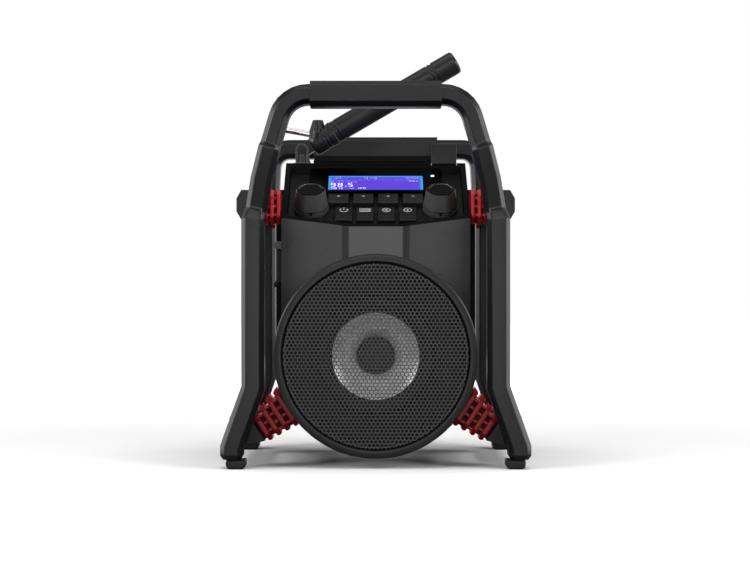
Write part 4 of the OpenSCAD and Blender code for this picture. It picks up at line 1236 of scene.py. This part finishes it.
# ---- Antenna ----

@dataclass
class Antenna:
    """Bracket, mast, lock knob, bar and clip."""

    clip_round: float = 0.6

    def build(self) -> None:
        """Makes the antenna's pieces."""
        soften("antenna_bracket", BRACKET)
        soften("antenna_pin", HINGE_PIN)
        soften("antenna_base", SKIN, body="antenna")
        soften("antenna_mast", SKIN, body="antenna")
        soften("lock_knob", LOCK, body="antenna_lock")
        soften("lock_bar", CHROME, body="antenna_lock")
        soften("antenna_clip", CLIP, self.clip_round)


# ---- Studio ----

@dataclass(frozen=True)
class Lamp:
    """A soft rectangular lamp. Sizes are in metres, and its power in watts."""

    name: str
    place: tuple[float, float, float]
    aim: tuple[float, float, float]
    size: tuple[float, float]
    power: float

    def hang(self, only: Optional[bpy.types.Object] = None) -> None:
        """Adds the lamp to the scene.

        Args:
            only: the one object that it lights, if it isn't all of them.
        """
        data = bpy.data.lights.new(self.name, "AREA")
        data.shape = "RECTANGLE"
        data.size, data.size_y = self.size
        data.energy = self.power
        made = bpy.data.objects.new(self.name, data)
        made.location = self.place
        made.rotation_euler = (Vector(self.aim) - Vector(self.place)).to_track_quat("-Z", "Y").to_euler()
        bpy.context.scene.collection.objects.link(made)
        if only:
            lit = bpy.data.collections.new(self.name + "_lights")
            lit.objects.link(only)
            made.light_linking.receiver_collection = lit


LAMPS = (
    Lamp("front_softbox", (0.0, -2.6, 0.08), (0, 0, 0.17), (0.5, 0.4), 4.4),
    Lamp("left_key", (-2.05, -1.45, 1.05), (0, 0, 0.17), (1.3, 1.1), 39.0),
    Lamp("right_key", (2.05, -1.45, 1.05), (0, 0, 0.17), (1.3, 1.1), 39.0),
    Lamp("middle_key", (0.0, -2.1, 1.15), (0, 0, 0.17), (0.8, 0.5), 5.0),
    Lamp("top_softbox", (0.0, -0.1, 1.9), (0, 0, 0.2), (1.6, 1.2), 9.0),
    Lamp("left_softbox", (-1.5, 0.25, 0.4), (0, 0, 0.2), (1.2, 1.2), 5.0),
    Lamp("right_softbox", (1.5, 0.25, 0.4), (0, 0, 0.2), (1.2, 1.2), 5.0),
)
FLOOR_LAMP = Lamp("floor_softbox", (0.0, -0.3, 2.2), (0, -0.1, 0.0), (2.4, 2.0), 31.0)


@dataclass
class Studio:
    """Floor, sky, lamps and camera."""

    camera_place: tuple[float, float, float] = (-0.00065, -1.8485, 0.164)
    lens: float = 95.4
    sensor: float = 36.0
    sky: float = 0.12
    room: float = 0.12
    ceiling: float = 0.06
    floor_half: float = 6.0
    paper_seen: float = 0.86
    paper_bounce: float = 0.12

    def build(self) -> None:
        """Sets up all that isn't part of the radio."""
        bpy.context.scene.view_settings.view_transform = "Standard"
        self.camera()
        self.world()
        floor = self.floor()
        for lamp in LAMPS:
            lamp.hang()
        FLOOR_LAMP.hang(floor)

    def camera(self) -> None:
        """Sets up a level camera in front of the radio."""
        data = bpy.data.cameras.new("camera")
        data.lens, data.sensor_width, data.sensor_fit = self.lens, self.sensor, "HORIZONTAL"
        made = bpy.data.objects.new("camera", data)
        made.location = self.camera_place
        made.rotation_euler = (math.pi / 2, 0, 0)
        bpy.context.scene.collection.objects.link(made)
        bpy.context.scene.camera = made

    @staticmethod
    def seen(w: Wiring, mirrored: object) -> Socket:
        """Tells what a ray should see of the backdrop.

        Args:
            w: the wiring of the floor's or the sky's material.
            mirrored: the share for a ray from a mirror.

        Returns:
            1 for a ray from the camera or through glass, that share for one from a mirror, or else 0.
        """
        path = w.add("LightPath")
        direct = w.maths("MAXIMUM", path.outputs["Is Camera Ray"], path.outputs["Is Transmission Ray"])
        return w.maths("MAXIMUM", direct, w.maths("MULTIPLY", path.outputs["Is Glossy Ray"], mirrored))

    def world(self) -> None:
        """Sets up a white backdrop that lights softly.

        A mirror sees it only behind the radio, and a dim room and a dark ceiling elsewhere.
        """
        world = bpy.data.worlds.new("studio_sky")
        bpy.context.scene.world = world
        world.use_nodes = True
        w = Wiring(world.node_tree)
        aim = w.add("SeparateXYZ", {0: w.add("TexCoord").outputs["Generated"]})
        behind = w.ramp(aim.outputs["Y"], low=-0.15, high=0.2, to_low=self.room)
        low = w.ramp(aim.outputs["Z"], low=0.3, high=0.65, to_low=1.0, to_high=self.ceiling)
        seen = self.seen(w, w.maths("MULTIPLY", behind, low))
        w.feed(world.node_tree.nodes["Background"], {"Color": (1, 1, 1, 1),
                                                     "Strength": w.maths("MAXIMUM", seen, self.sky)})

    def floor(self) -> bpy.types.Object:
        """Makes a white floor that keeps the radio's shadow.

        A mirror sees it white only behind the radio, and it fades to pure white away from the radio.

        Returns:
            The floor.
        """
        bm = bmesh.new()
        bmesh.ops.create_grid(bm, x_segments=1, y_segments=1, size=self.floor_half)
        mesh = bpy.data.meshes.new("floor")
        bm.to_mesh(mesh)
        bm.free()
        made = bpy.data.objects.new("floor", mesh)
        bpy.context.scene.collection.objects.link(made)
        paper = bpy.data.materials.new("studio_paper")
        paper.use_nodes = True
        w = Wiring(paper.node_tree)
        place = w.place()
        white = w.mix(self.seen(w, 0.0), rgba((self.paper_bounce,) * 3), rgba((self.paper_seen,) * 3))
        away = w.add("VectorMath", {0: place}, operation="LENGTH").outputs["Value"]
        fade = w.ramp(away, low=0.35, high=1.6)
        behind = w.ramp(w.add("SeparateXYZ", {0: place}).outputs["Y"], low=-0.2, high=0.3, to_low=0.05)
        w.feed(paper.node_tree.nodes["Principled BSDF"], {
            "Base Color": white, "Roughness": 0.9, "Specular IOR Level": 0.0,
            "Emission Color": (1, 1, 1, 1),
            "Emission Strength": w.maths("MULTIPLY", self.seen(w, behind), fade)})
        mesh.materials.append(paper)
        return made


def main() -> None:
    """Builds the studio and every sub-assembly."""
    logging.basicConfig(level=logging.INFO, format="%(name)s: %(message)s")
    for part in (Studio(), RollCage(), Dampers(), Housing(), Speaker(), ControlPanel(), Antenna()):
        LOG.info("building %s", type(part).__name__)
        part.build()


if __name__ == "__main__":
    main()
